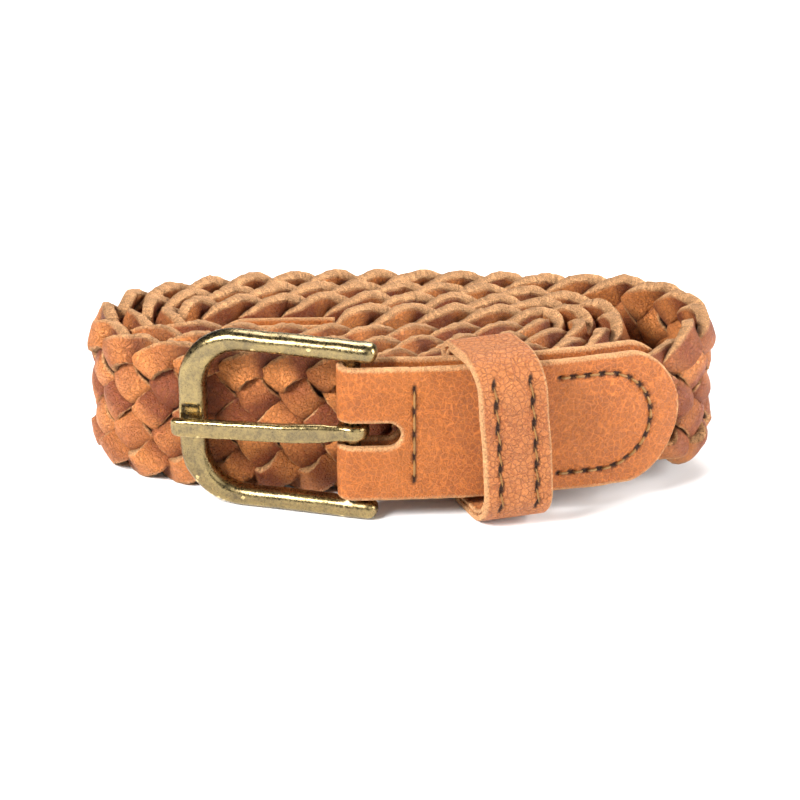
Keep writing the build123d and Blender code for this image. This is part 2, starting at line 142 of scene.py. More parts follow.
@dataclass
class Coil:
    """The flat spiral that the strap's middle line follows."""

    half_width: float = 67.6
    half_depth: float = 28.6
    pitch: float = 6.95
    roundness: float = 0.52
    front_roundness: float = 0.36
    loose_step: float = 9.0
    front_shift: float = 17.0
    front_lift: float = 4.9
    start: float = -0.006
    end: float = 3.66
    front_turns: Span = (0.12, 0.45)
    loose_turns: Span = (0.75, 1.25)
    lift_turns: Span = (0.05, 0.40)
    bar_x: float = -7.0
    samples: int = 6001
    small_turn: float = 1e-4
    shift: Array = field(default_factory=lambda: np.zeros(3))

    def __post_init__(self) -> None:
        """Works out the spiral's points and lengths."""
        turns = np.linspace(self.start, self.end, self.samples)
        self.angle = 2 * pi * turns - pi / 2
        small = self.small_turn
        here = self.reach(self.angle)
        ahead = self.reach(self.angle + small)
        behind = self.reach(self.angle - small)
        slope = (ahead - behind) / (2 * small)
        radius = here + (ahead - 2 * here + behind) / small**2
        self.x = here * np.cos(self.angle) - slope * np.sin(self.angle)
        self.y = here * np.sin(self.angle) + slope * np.cos(self.angle)
        steps = 0.5 * (radius[1:] + radius[:-1]) * np.diff(self.angle)
        distance = np.concatenate([[0.0], np.cumsum(steps)])
        first = self.angle < 0
        self.s = distance - np.interp(self.bar_x, self.x[first], distance[first])
        self.length = float(self.s[-1])

    def reach(self, angle: Array) -> Array:
        """Distance from the centre to the tangent line at an angle.

        Args:
            angle: the tangent's normal, in radians, which grows turn after turn.

        Returns:
            The distance, in millimetres.
        """
        turn = (angle + pi / 2) / (2 * pi)
        begin = 1 - ease(turn, *self.front_turns)
        step = self.loose_step * ease(turn, *self.loose_turns)
        shift = self.front_shift * begin
        half_depth = self.half_depth - self.pitch * turn
        half_width = self.half_width - self.pitch * turn
        roundness = self.roundness * (1 - begin) + self.front_roundness * begin
        radius = roundness * half_depth
        flat = half_width - radius - step / 2 + shift
        ellipse = np.hypot(flat * np.cos(angle), (half_depth - radius) * np.sin(angle))
        lift = self.front_lift * (1 - ease(turn, *self.lift_turns))
        return ellipse + radius - (step / 2 + shift) * np.cos(angle) + lift

    def place(self, s: Array, z: Array, o: Array) -> Array:
        """Points of the frame, in metres.

        Args:
            s: distance along the strap from the bar's axis.
            z: height above the ground.
            o: offset towards the outside of the roll.

        Returns:
            An array of points, one row each.
        """
        inside = np.clip(s, self.s[0], self.length)
        angle = np.interp(inside, self.s, self.angle)
        beyond = s - inside
        x = np.interp(inside, self.s, self.x) + o * np.cos(angle) - beyond * np.sin(angle)
        y = np.interp(inside, self.s, self.y) + o * np.sin(angle) + beyond * np.cos(angle)
        return (np.stack([x, y, z], axis=-1) + self.shift) * MM

    def align(self, bar: Vector, middle: float) -> None:
        """Sets the spiral so that its bar point lies at the frame's bar axis.

        Args:
            bar: a point of the bar's axis at the buckle's middle height, in metres.
            middle: that middle height above the ground, in millimetres.
        """
        here = self.place(np.array([0.0]), np.array([middle]), np.array([0.0]))[0]
        self.shift = self.shift + (np.array(bar) - here) / MM


# ---- mesh helpers ---------------------------------------------------------

def deselect() -> None:
    """Leaves nothing selected and no edit mode open."""
    if bpy.context.object and bpy.context.object.mode != "OBJECT":
        bpy.ops.object.mode_set(mode="OBJECT")
    bpy.ops.object.select_all(action="DESELECT")


def vertices_of(piece: bpy.types.Object) -> Array:
    """The piece's vertex coordinates.

    Args:
        piece: a mesh object.

    Returns:
        An array with one row for each vertex.
    """
    flat = np.empty(len(piece.data.vertices) * 3)
    piece.data.vertices.foreach_get("co", flat)
    return flat.reshape(-1, 3)


def set_vertices(piece: bpy.types.Object, points: Array) -> None:
    """Moves the piece's vertices to points."""
    piece.data.vertices.foreach_set("co", np.ascontiguousarray(points, float).ravel())
    piece.data.update()


def mark(piece: bpy.types.Object, name: str, values: Array) -> None:
    """Writes one number per vertex as an attribute that materials read."""
    layer = piece.data.attributes.new(name, "FLOAT", "POINT")
    layer.data.foreach_set("value", np.ascontiguousarray(values, np.float32))


def lay_uv(piece: bpy.types.Object, along: Array, across: Array) -> None:
    """Gives the piece a UV map in millimetres.

    Args:
        piece: a mesh object.
        along: one distance for each vertex, along the leather or thread.
        across: one for each, across it.
    """
    mesh = piece.data
    corners = np.empty(len(mesh.loops), int)
    mesh.loops.foreach_get("vertex_index", corners)
    for old in list(mesh.uv_layers):
        mesh.uv_layers.remove(old)
    layer = mesh.uv_layers.new(name="leather")
    pairs = np.stack([along[corners], across[corners]], axis=-1)
    layer.data.foreach_set("uv", pairs.astype(np.float32).ravel())


def smooth(piece: bpy.types.Object, angle: float = 60.0) -> None:
    """Smooth shading with sharp edges.

    Args:
        piece: a mesh object.
        angle: edges that turn by more than this, in degrees, stay sharp.
    """
    deselect()
    piece.select_set(True)
    bpy.context.view_layer.objects.active = piece
    bpy.ops.object.shade_smooth_by_angle(angle=radians(angle))
    deselect()


def point_outwards(piece: bpy.types.Object) -> None:
    """Turns the piece's faces outwards.

    Args:
        piece: a closed mesh object.
    """
    deselect()
    bpy.context.view_layer.objects.active = piece
    piece.select_set(True)
    bpy.ops.object.mode_set(mode="EDIT")
    bpy.ops.mesh.select_all(action="SELECT")
    bpy.ops.mesh.normals_make_consistent(inside=False)
    bpy.ops.object.mode_set(mode="OBJECT")
    deselect()


def leather_blank(name: str, columns: int, rows: int, steps: int = 3) -> bpy.types.Object:
    """A flat strip with walls, cut as a grid and extruded, to be laid along a path.

    Args:
        name: the piece's name.
        columns: cells along the strip.
        rows: cells across it.
        steps: extrusions between its lower and its upper face.

    Returns:
        The strip: x from 0 to 1 along, y from -1 to 1 across and z from 0 to 1 through.
    """
    deselect()
    bpy.ops.mesh.primitive_grid_add(x_subdivisions=columns, y_subdivisions=rows, size=2)
    strip = bpy.context.object
    strip.name = name
    strip.data.name = name
    bpy.ops.object.mode_set(mode="EDIT")
    bpy.ops.mesh.select_all(action="SELECT")
    for _ in range(steps):
        bpy.ops.mesh.extrude_region_move(
            TRANSFORM_OT_translate={"value": (0.0, 0.0, 1.0 / steps)}
        )
    bpy.ops.mesh.select_all(action="SELECT")
    bpy.ops.mesh.normals_make_consistent(inside=False)
    bpy.ops.object.mode_set(mode="OBJECT")
    points = vertices_of(strip)
    points[:, 0] = (points[:, 0] + 1) / 2
    set_vertices(strip, points)
    deselect()
    return strip


def joined(name: str, parts: list[bpy.types.Object]) -> bpy.types.Object:
    """Joins separate shells into one piece.

    Args:
        name: the piece's name.
        parts: the shells, which are used up.

    Returns:
        The joined piece.
    """
    deselect()
    for part in parts:
        part.select_set(True)
    bpy.context.view_layer.objects.active = parts[0]
    if len(parts) > 1:
        bpy.ops.object.join()
    piece = bpy.context.object
    piece.name = name
    piece.data.name = name
    deselect()
    return piece


def walls(level: Array) -> Array:
    """Tells which points of a leather blank lie on its cut walls, between its faces."""
    return (level > 0.1) & ~grain_side(level)


def grain_side(level: Array) -> Array:
    """Tells which points of a leather blank lie on its grain side."""
    return level >= 0.9


def rounded_rim(border: Array, radius: float) -> Array:
    """How full the leather is near its cut edge.

    Args:
        border: distances from the edge.
        radius: within this distance the face falls off as a quarter circle.

    Returns:
        Numbers from 0 at the edge to 1 on the face.
    """
    left = 1 - np.clip(border / radius, 0, 1)
    return np.sqrt(np.clip(1 - left**2, 0, 1))


def hand_over(
    piece: bpy.types.Object, material: bpy.types.Material, body: str, node: str
) -> None:
    """Dresses a finished piece, hangs it on its body and hides the exact part that it replaces.

    Args:
        piece: the finished mesh object.
        material: its only material.
        body: the body that it rides on.
        node: the exact part that it replaces.
    """
    piece.data.materials.clear()
    piece.data.materials.append(material)
    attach(piece, body)
    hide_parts(node)
    LOG.info("made %s", piece.name)


# ---- finishes -------------------------------------------------------------

@dataclass(frozen=True)
class Mottle:
    """An irregular pattern: its scale, its detail, its roughness and its twist."""

    scale: float
    detail: float = 4.0
    rough: float = 0.55
    twist: float = 0.0


class Nodes:
    """Short hand for a material's node tree."""

    def __init__(self, name: str) -> None:
        """Starts an empty material with a Principled shader.

        Args:
            name: the material's name.
        """
        self.material = bpy.data.materials.new(name)
        self.material.use_nodes = True
        self.tree = self.material.node_tree
        self.shader = self.tree.nodes["Principled BSDF"]
        self.coords = self.add("ShaderNodeTexCoord")

    def add(self, kind: str, **settings: object) -> bpy.types.Node:
        """Adds a node.

        Args:
            kind: the node's type.
            settings: properties to set on it.

        Returns:
            The node.
        """
        node = self.tree.nodes.new(kind)
        for key, value in settings.items():
            setattr(node, key, value)
        return node

    def link(self, source: object, target: object) -> None:
        """Joins two sockets."""
        self.tree.links.new(source, target)

    def stretched(self, source: object, scale: tuple[float, float, float]) -> object:
        """Scales coordinates.

        Args:
            source: the coordinates' socket.
            scale: one factor for each axis.

        Returns:
            The scaled coordinates' socket.
        """
        node = self.add("ShaderNodeMapping")
        node.inputs["Scale"].default_value = scale
        self.link(source, node.inputs["Vector"])
        return node.outputs["Vector"]

    def noise(self, vector: object, mottle: Mottle) -> object:
        """An irregular pattern.

        Args:
            vector: the coordinates' socket.
            mottle: the pattern's settings.

        Returns:
            A socket with numbers from 0 to 1.
        """
        node = self.add("ShaderNodeTexNoise")
        node.inputs["Scale"].default_value = mottle.scale
        node.inputs["Detail"].default_value = mottle.detail
        node.inputs["Roughness"].default_value = mottle.rough
        node.inputs["Distortion"].default_value = mottle.twist
        self.link(vector, node.inputs["Vector"])
        return node.outputs["Fac"]

    def cells(self, vector: object, scale: float, feature: str = "DISTANCE_TO_EDGE") -> object:
        """Distance to the nearest cell edge or centre.

        Args:
            vector: the coordinates' socket.
            scale: cells to a metre.
            feature: what the distance is measured to.

        Returns:
            The distance's socket.
        """
        node = self.add("ShaderNodeTexVoronoi", feature=feature)
        node.inputs["Scale"].default_value = scale
        self.link(vector, node.inputs["Vector"])
        return node.outputs["Distance"]

    def attribute(self, name: str) -> object:
        """A number stored on the mesh."""
        node = self.add("ShaderNodeAttribute", attribute_name=name)
        return node.outputs["Fac"]

    def spread(self, value: object, low: float, high: float, to_low: float = 0.0,
               to_high: float = 1.0) -> object:
        """Maps one range onto another, clamped.

        Args:
            value: the socket to map.
            low: value that becomes to_low.
            high: value that becomes to_high.
            to_low: what low becomes.
            to_high: what high becomes.

        Returns:
            The mapped socket.
        """
        node = self.add("ShaderNodeMapRange", clamp=True)
        node.inputs["From Min"].default_value = low
        node.inputs["From Max"].default_value = high
        node.inputs["To Min"].default_value = to_low
        node.inputs["To Max"].default_value = to_high
        self.link(value, node.inputs["Value"])
        return node.outputs["Result"]

    def maths(self, operation: str, first: object, second: object) -> object:
        """One arithmetic step.

        Args:
            operation: its name.
            first: a socket or a number.
            second: another.

        Returns:
            The result's socket.
        """
        node = self.add("ShaderNodeMath", operation=operation)
        for socket, value in zip(node.inputs, (first, second)):
            if isinstance(value, (int, float)):
                socket.default_value = value
            else:
                self.link(value, socket)
        return node.outputs["Value"]

    def blend(self, *parts: tuple[object, float]) -> object:
        """Adds up sockets, each times its weight.

        Args:
            parts: pairs of a socket and a weight.

        Returns:
            The sum's socket.
        """
        total = None
        for socket, weight in parts:
            part = self.maths("MULTIPLY", socket, weight)
            total = part if total is None else self.maths("ADD", total, part)
        return total

    def mix(self, factor: object, first: object, second: object) -> object:
        """Mixes two colours.

        Args:
            factor: a socket or a number, 0 for the first colour and 1 for the second.
            first: a colour, as a socket or a triple.
            second: another.

        Returns:
            The mixed colour's socket.
        """
        node = self.add("ShaderNodeMix", data_type="RGBA", blend_type="MIX")
        sockets = (node.inputs[0], node.inputs[6], node.inputs[7])
        for socket, value in zip(sockets, (factor, first, second)):
            if isinstance(value, (int, float)):
                socket.default_value = value
            elif isinstance(value, tuple):
                socket.default_value = (*value, 1.0)
            else:
                self.link(value, socket)
        return node.outputs[2]

    def bumps(self, heights: list[tuple[object, float, float]]) -> None:
        """Chains bumps into the shader.

        Args:
            heights: for each, its height socket, its strength and its depth in metres.
        """
        last = None
        for height, strength, depth in heights:
            node = self.add("ShaderNodeBump")
            node.inputs["Strength"].default_value = strength
            node.inputs["Distance"].default_value = depth
            self.link(height, node.inputs["Height"])
            if last is not None:
                self.link(last, node.inputs["Normal"])
            last = node.outputs["Normal"]
        self.link(last, self.shader.inputs["Normal"])


@dataclass(frozen=True)
class Leather:
    """Vegetable-tanned leather with a waxed grain and raw, fuzzy cut edges."""

    name: str
    light: Colour
    dark: Colour
    raw: Colour = (0.56, 0.285, 0.120)
    # deep is the near-black colour of the painted shade laid under strand crossings and in stitch
    # holes.
    deep: Colour = (0.022, 0.007, 0.002)
    raw_shades: Span = (0.55, 1.45)
    glow: float = 1.5
    cloud: Mottle = Mottle(130.0, 5.0, 0.6)
    cloud_share: float = 0.45
    patch: Mottle = Mottle(420.0, 4.0, 0.65, 0.6)
    patch_share: float = 0.55
    variety: float = 0.42
    fine: Mottle = Mottle(1900.0, 4.0, 0.7)
    fine_share: float = 0.22
    fine_depth: float = 0.00022
    tone_range: Span = (0.42, 1.02)
    wrinkle: float = 0.9
    wrinkle_shape: Span = (0.42, 0.30)
    wrinkle_depth: float = 0.00025
    folds: Mottle = Mottle(1.0, 5.0, 0.60, 2.2)
    vein_width: float = 0.06
    vein_light: float = 0.34
    vein_breaks: Span = (0.40, 0.58)
    pebble: float = 1500.0
    pebble_depth: float = 0.00005
    pore_width: float = 0.12
    warp_scale: float = 420.0
    warp: float = 0.0012
    net: float = 0.30
    net_is_light: bool = False
    rub_range: Span = (0.62, 1.05)
    rub_raggedness: float = 0.35
    fuzz: Mottle = Mottle(3300.0, 5.0, 0.75)
    fuzz_range: Span = (0.36, 0.62)
    fuzz_depth: float = 0.00022
    # How far the painted shade goes towards deep.
    painted_shade_share: float = 0.94
    gloss_range: Span = (0.3, 0.75)
    roughness: Span = (0.42, 0.62)
    raw_roughness: float = 0.92
    specular: float = 0.34
    sheen: float = 0.03
    sheen_roughness: float = 0.5

    def warped(self, nodes: Nodes, where: object) -> object:
        """Coordinates that waver, so that the pebbles aren't straight-sided.

        Args:
            nodes: the material's nodes.
            where: the coordinates' socket.

        Returns:
            The wavering coordinates' socket.
        """
        drift = nodes.add("ShaderNodeTexNoise")
        drift.inputs["Scale"].default_value = self.warp_scale
        nodes.link(where, drift.inputs["Vector"])
        warp = nodes.add("ShaderNodeVectorMath", operation="MULTIPLY_ADD")
        warp.inputs[1].default_value = (self.warp, self.warp, self.warp)
        nodes.link(drift.outputs["Color"], warp.inputs[0])
        nodes.link(where, warp.inputs[2])
        return warp.outputs[0]

    def make(self) -> bpy.types.Material:
        """Builds the material."""
        nodes = Nodes(self.name)
        where = nodes.coords.outputs["Object"]
        patch = nodes.noise(where, self.patch)
        fine = nodes.noise(where, self.fine)
        tone = nodes.blend(
            (nodes.noise(where, self.cloud), self.cloud_share),
            (patch, self.patch_share),
            (nodes.attribute("shade"), self.variety),
            (fine, self.fine_share),
        )
        colour = nodes.mix(nodes.spread(tone, *self.tone_range), self.light, self.dark)
        shape = tuple(self.wrinkle * share for share in self.wrinkle_shape)
        lines = nodes.stretched(nodes.coords.outputs["UV"], (*shape, 1.0))
        folds = nodes.noise(lines, self.folds)
        ridges = nodes.maths("ABSOLUTE", nodes.maths("SUBTRACT", folds, 0.5), 0.0)
        veins = nodes.spread(ridges, 0.0, self.vein_width)
        light_line = nodes.maths(
            "MULTIPLY",
            nodes.spread(veins, 0.0, 1.0, self.vein_light, 0.0),
            nodes.spread(patch, *self.vein_breaks),
        )
        glow = tuple(min(1.0, value * self.glow) for value in self.light)
        colour = nodes.mix(light_line, colour, glow)
        cell = nodes.cells(self.warped(nodes, where), self.pebble)
        pores = nodes.spread(cell, 0.0, self.pore_width)
        net = nodes.spread(pores, 0.0, 1.0, self.net, 0.0)
        colour = nodes.mix(net, colour, glow if self.net_is_light else self.dark)
        rub = nodes.blend((nodes.attribute("edge"), 1.0), (fine, self.rub_raggedness))
        rub = nodes.spread(rub, *self.rub_range)
        fuzz = nodes.noise(where, self.fuzz)
        shaded, lit = (
            tuple(min(1.0, share * value) for value in self.raw) for share in self.raw_shades
        )
        raw = nodes.mix(nodes.spread(fuzz, *self.fuzz_range), shaded, lit)
        colour = nodes.mix(rub, colour, raw)
        # Painted shade: the colour darkens towards deep where a strand runs under another and in
        # stitch holes.
        painted_shade = nodes.spread(nodes.attribute("painted_shade"), 0.0, 1.0, 0.0, self.painted_shade_share)
        colour = nodes.mix(painted_shade, colour, self.deep)
        nodes.link(colour, nodes.shader.inputs["Base Color"])
        rough = nodes.spread(patch, *self.gloss_range, *self.roughness)
        raw_rough = nodes.maths("MULTIPLY", rub, self.raw_roughness)
        rough = nodes.maths("MAXIMUM", rough, raw_rough)
        nodes.link(rough, nodes.shader.inputs["Roughness"])
        nodes.shader.inputs["Specular IOR Level"].default_value = self.specular
        nodes.shader.inputs["Sheen Weight"].default_value = self.sheen
        nodes.shader.inputs["Sheen Roughness"].default_value = self.sheen_roughness
        nodes.bumps([
            (veins, 0.8, self.wrinkle_depth),
            (pores, 0.7, self.pebble_depth),
            (fuzz, 0.7, self.fuzz_depth),
            (fine, 0.6, self.fine_depth),
        ])
        return nodes.material


@dataclass(frozen=True)
class AntiqueBrass:
    """Cast brass with a dark patina, rubbed bright where it stands out."""

    name: str = "antique_brass"
    patina: Colour = (0.15, 0.117, 0.070)
    worn: Colour = (0.40, 0.295, 0.125)
    bright: Colour = (0.86, 0.69, 0.33)
    soot: Colour = (0.018, 0.013, 0.008)
    cloud: Mottle = Mottle(190.0, 5.0, 0.65, 0.8)
    cloud_share: float = 0.62
    cloud_depth: float = 0.0003
    specks: Mottle = Mottle(1400.0, 5.0, 0.72)
    specks_share: float = 0.50
    specks_depth: float = 0.00006
    proud_range: Span = (0.485, 0.545)
    proud_share: float = 0.52
    worn_range: Span = (0.57, 0.92)
    bright_range: Span = (0.90, 1.12)
    hollow_range: Span = (0.44, 0.495)
    hollow_share: float = 0.85
    gloss_range: Span = (0.3, 0.75)
    roughness: Span = (0.18, 0.40)
    pits_scale: float = 900.0
    pits_depth: float = 0.00008

    def make(self) -> bpy.types.Material:
        """Builds the material."""
        nodes = Nodes(self.name)
        where = nodes.coords.outputs["Object"]
        cloud = nodes.noise(where, self.cloud)
        specks = nodes.noise(where, self.specks)
        point = nodes.add("ShaderNodeNewGeometry").outputs["Pointiness"]
        wear = nodes.blend(
            (cloud, self.cloud_share),
            (specks, self.specks_share),
            (nodes.spread(point, *self.proud_range), self.proud_share),
        )
        colour = nodes.mix(nodes.spread(wear, *self.worn_range), self.patina, self.worn)
        colour = nodes.mix(nodes.spread(wear, *self.bright_range), colour, self.bright)
        hollow = nodes.spread(point, *self.hollow_range, self.hollow_share, 0.0)
        colour = nodes.mix(hollow, colour, self.soot)
        nodes.link(colour, nodes.shader.inputs["Base Color"])
        nodes.shader.inputs["Metallic"].default_value = 1.0
        rough = nodes.spread(specks, *self.gloss_range, *self.roughness)
        nodes.link(rough, nodes.shader.inputs["Roughness"])
        nodes.bumps([
            (cloud, 0.25, self.cloud_depth),
            (specks, 0.3, self.specks_depth),
            (nodes.cells(where, self.pits_scale, "F1"), 0.16, self.pits_depth),
        ])
        return nodes.material


@dataclass(frozen=True)
class Thread:
    """Waxed two-ply thread."""

    name: str = "waxed_thread"
    light: Colour = (0.44, 0.22, 0.05)
    dark: Colour = (0.15, 0.06, 0.015)
    lay: float = 38.0
    plies_scale: float = 0.55
    plies_twist: float = 0.6
    plies_share: float = 0.6
    plies_depth: float = 0.00016
    mottle: Mottle = Mottle(900.0, 4.0, 0.6)
    mottle_share: float = 0.6
    mottle_depth: float = 0.00005
    tone_range: Span = (0.25, 0.85)
    roughness: float = 0.55

    def make(self) -> bpy.types.Material:
        """Builds the material."""
        nodes = Nodes(self.name)
        turned = nodes.add("ShaderNodeMapping")
        turned.inputs["Rotation"].default_value = (0.0, 0.0, radians(self.lay))
        nodes.link(nodes.coords.outputs["UV"], turned.inputs["Vector"])
        wave = nodes.add("ShaderNodeTexWave", wave_type="BANDS", bands_direction="X")
        wave.inputs["Scale"].default_value = self.plies_scale
        wave.inputs["Distortion"].default_value = self.plies_twist
        nodes.link(turned.outputs["Vector"], wave.inputs["Vector"])
        plies = wave.outputs["Fac"]
        mottle = nodes.noise(nodes.coords.outputs["Object"], self.mottle)
        tone = nodes.blend((plies, self.plies_share), (mottle, self.mottle_share))
        colour = nodes.mix(nodes.spread(tone, *self.tone_range), self.dark, self.light)
        nodes.link(colour, nodes.shader.inputs["Base Color"])
        nodes.shader.inputs["Roughness"].default_value = self.roughness
        nodes.bumps([(plies, 0.7, self.plies_depth), (mottle, 0.3, self.mottle_depth)])
        return nodes.material


# ---- the braid ------------------------------------------------------------

def dye(piece: bpy.types.Object, edge: Array, shade: Array, painted_shade: Array) -> None:
    """Writes the three numbers per vertex that the leather's finish reads.

    Args:
        piece: a leather mesh.
        edge: 1 where the leather is raw, 0 on its waxed face.
        shade: how much darker than usual the dye is, with painted shade added along stitch
            grooves.
        painted_shade: 1 where painted shade falls, under strand crossings and in stitch holes, 0
            in the open.
    """
    mark(piece, "edge", edge)
    mark(piece, "shade", shade)
    mark(piece, "painted_shade", painted_shade)


@dataclass
class Braid:
    """The strap: six flat strands plaited over one and under one."""

    coil: Coil
    leather: bpy.types.Material
    strands: int = 6
    step: float = 4.75
    row_height: float = 5.65
    edge_rise: float = 2.05
    width: float = 7.0
    thickness: float = 2.25
    crossing: float = 1.72
    plateau: float = 0.62
    half_height: float = 16.55
    tab_middle: float = 20.0
    tab_width: float = 30.0
    tab_length: float = 69.5
    braid_start: float = 13.2
    tip_length: float = 30.0
    tip_overlap: float = 18.0
    tip_width: float = 25.0
    cover_margin: float = 4.0
    skived: float = 0.62
    skive_near: Span = (-4.0, 5.0)
    skive_far: Span = (-5.0, 4.0)
    lift_range: Span = (78.0, 150.0)
    lowest: float = 0.05
    cell: float = 0.115
    rows: int = 9
    look_ahead: float = 0.02
    rim: float = 0.99
    edge_start: float = 0.6
    edge_twist: float = 16.0
    edge_swell: float = 0.30
    edge_narrowing: float = 0.16
    crown: float = 0.42
    crown_power: float = 3.0
    edge_crown: float = 0.75
    side_levels: tuple[float, ...] = (0, 1 / 3, 2 / 3, 1)
    side_shares: tuple[float, ...] = (-1, -0.5, 0.5, 1)
    wall_bulge: float = 1.05
    lean: Swing = Swing(radians(9), 1.0, 2.4, 3.3)
    widening: Swing = Swing(0.05, 0.0, 3.1, 1.9)
    thickening: Swing = Swing(0.07, 2.0, 1.7, 2.7)
    drift: Swing = Swing(0.24, 1.0, 1.3, 4.4)
    dye_swing: Swing = Swing(0.85, 3.0, 2.3, 7.7)
    dye_base: float = 0.25
    grain: Swing = Swing(0.05, 0.5, 5.1, 1.0)
    grain_slope: Span = (9, 3)
    fine_grain: Swing = Swing(0.045, 1.5, 3.3, 1.0)
    fine_grain_slope: Span = (5, -7)
    rag: float = 0.08
    rag_seed: float = 5.0
    rag_wave: float = 0.23
    fibres: float = 0.15
    uv_step: float = 7.4
    uv_apart: float = 40.0
    rubbed: float = 0.50
    rubbed_range: Span = (0.80, 1.0)
    folded: float = 0.9
    folded_range: Span = (0.55, 0.95)
    # Painted shade where a strand runs under its neighbours, fading towards the strap's top and
    # bottom edges.
    painted_shade_range: Span = (-0.35, 0.80)
    painted_shade_fade: float = 0.7

    def middle(self, s: Array) -> Array:
        """Height of the strap's middle line."""
        raised = self.tab_middle - self.half_height
        return self.half_height + raised * (1 - ease(s, *self.lift_range))

    def in_tabs(self, s: Array) -> Array:
        """Tells how far the braid lies inside the tab or the tip.

        Args:
            s: distances along the strap.

        Returns:
            1 where it is covered, 0 where it is free.
        """
        near_start, near_stop = (self.tab_length + shift for shift in self.skive_near)
        tip = self.coil.length - self.tip_length
        far_start, far_stop = (tip + shift for shift in self.skive_far)
        return np.maximum(1 - ease(s, near_start, near_stop), ease(s, far_start, far_stop))

    def station(self, index: Array, number: int) -> tuple[Array, Array]:
        """Where a strand lies at whole stations.

        Args:
            index: the stations, counted from the bar.
            number: the strand's number.

        Returns:
            Its height from the strap's middle and its offset.
        """
        cycle = 2 * self.strands
        rows = self.strands - 1
        phase = (index - 2 * number) % cycle
        rising = phase < self.strands
        row = np.where(rising, phase, cycle - phase)
        height = (row - (rows + 1) / 2) * self.row_height
        top = (rows - 1) / 2 * self.row_height + self.edge_rise
        height = np.where(phase == 0, -top, height)
        height = np.where(phase == self.strands, top, height)
        over = (row % 2 == 1) == rising
        offset = np.where(over, self.crossing, -self.crossing)
        offset = np.where((phase == 0) | (phase == self.strands), 0.0, offset)
        return height, offset

    def path(self, t: Array, number: int) -> tuple[Array, Array]:
        """Where a strand lies between stations, by a cardinal spline.

        Args:
            t: station numbers, with fractions.
            number: the strand's number.

        Returns:
            Its height from the strap's middle and its offset.
        """
        whole = np.floor(t).astype(int)
        part = t - whole
        total = [np.zeros_like(t), np.zeros_like(t)]
        weights = (
            -0.5 * part + part**2 - 0.5 * part**3,
            1 - 2.5 * part**2 + 1.5 * part**3,
            0.5 * part + 2 * part**2 - 1.5 * part**3,
            -0.5 * part**2 + 0.5 * part**3,
        )
        for back, weight in zip((-1, 0, 1, 2), weights):
            height, offset = self.station(whole + back, number)
            total[0] = total[0] + weight * height
            total[1] = total[1] + weight * offset
        share = np.clip(total[1] / self.crossing, -1, 1)
        offset = np.sign(share) * np.abs(share) ** self.plateau * self.crossing
        return total[0], offset

    def bearings(self, t: Array, number: int) -> tuple[Array, Array]:
        """Unit vectors across a strand and out of its outer face.

        Args:
            t: station numbers.
            number: the strand's number.

        Returns:
            Two arrays of vectors, each along the strap, upwards and outwards.
        """
        ahead_height, ahead_offset = self.path(t + self.look_ahead, number)
        behind_height, behind_offset = self.path(t - self.look_ahead, number)
        forward = np.full_like(t, 2 * self.look_ahead * self.step)
        run = np.stack([forward, ahead_height - behind_height, ahead_offset - behind_offset],
                       axis=-1)
        run /= np.linalg.norm(run, axis=1)[:, None]
        across = np.stack([-run[:, 1], run[:, 0], np.zeros_like(t)], axis=-1)
        across /= np.linalg.norm(across, axis=1)[:, None]
        out = np.cross(run, across)
        out *= np.where(out[:, 2] < 0, -1.0, 1.0)[:, None]
        return across, out

    def strand(self, number: int) -> None:
        """Makes one strand as a pillowed strip with rough cut edges.

        Args:
            number: the strand's number, from 0.
        """
        first = self.braid_start / self.step
        last = (self.coil.length - self.tip_length + self.tip_overlap) / self.step
        columns = int((last - first) / self.cell)
        strip = leather_blank(f"strand_{number + 1}_leather", columns, self.rows)
        u, v, level = vertices_of(strip).T
        t = first + u * (last - first)
        s = t * self.step
        height, offset = self.path(t, number)
        across, out = self.bearings(t, number)
        top = (self.strands - 2) / 2 * self.row_height
        near_edge = ease(np.abs(height), top - self.edge_start * self.row_height,
                         top + self.edge_rise)
        lean = near_edge * radians(self.edge_twist) * np.sign(height) + self.lean.at(t, number)
        turned = across * np.cos(lean)[:, None] - out * np.sin(lean)[:, None]
        facing = out * np.cos(lean)[:, None] + across * np.sin(lean)[:, None]
        wide = self.width * (1 + self.widening.at(t, number))
        wide = wide * (1 - self.edge_narrowing * near_edge)
        ragged = self.rag * wander(t, number + self.rag_seed * np.sign(v), self.rag_wave)
        ragged = (ragged + self.fibres * grit(t, v, level)) * (np.abs(v) > self.rim)
        half = self.thickness / 2 * (1 + self.thickening.at(t, number))
        half = half * (1 + self.edge_swell * near_edge)
        crown = 1 - self.crown * np.abs(v) ** self.crown_power * (1 - self.edge_crown * near_edge)
        side = np.interp(level, self.side_levels, self.side_shares)
        bulge = np.where(walls(level), self.wall_bulge, 1.0)
        grain = self.grain.at(self.grain_slope[0] * t + self.grain_slope[1] * v, number)
        fine_slope, fine_tilt = self.fine_grain_slope
        grain += self.fine_grain.at(fine_slope * t + fine_tilt * v, number)
        rise = half * side * crown + grain * np.sign(side) * (np.abs(v) < self.rim)
        spot = np.stack([s, height + self.drift.at(t, number), offset], axis=-1)
        spot += turned * ((wide / 2 * v * bulge) + ragged)[:, None] + facing * rise[:, None]
        covered = self.in_tabs(s)
        thin = 1 - (1 - self.skived) * covered
        cover = np.where(s > self.coil.length / 2, self.tip_width, self.tab_width)
        slim = (cover - self.cover_margin) / (2 * self.half_height)
        narrow = 1 - (1 - slim) * covered
        z = np.maximum(self.middle(s) + spot[:, 1] * narrow, self.lowest)
        set_vertices(strip, self.coil.place(spot[:, 0], z, spot[:, 2] * thin))
        lay_uv(strip, t * self.uv_step + self.uv_apart * number, v * self.width / 2)
        rubbed = self.rubbed * ease(np.abs(v), *self.rubbed_range)
        raw = np.where(walls(level), 1.0, rubbed)
        folded = self.folded * near_edge * ease(v * np.sign(height), *self.folded_range)
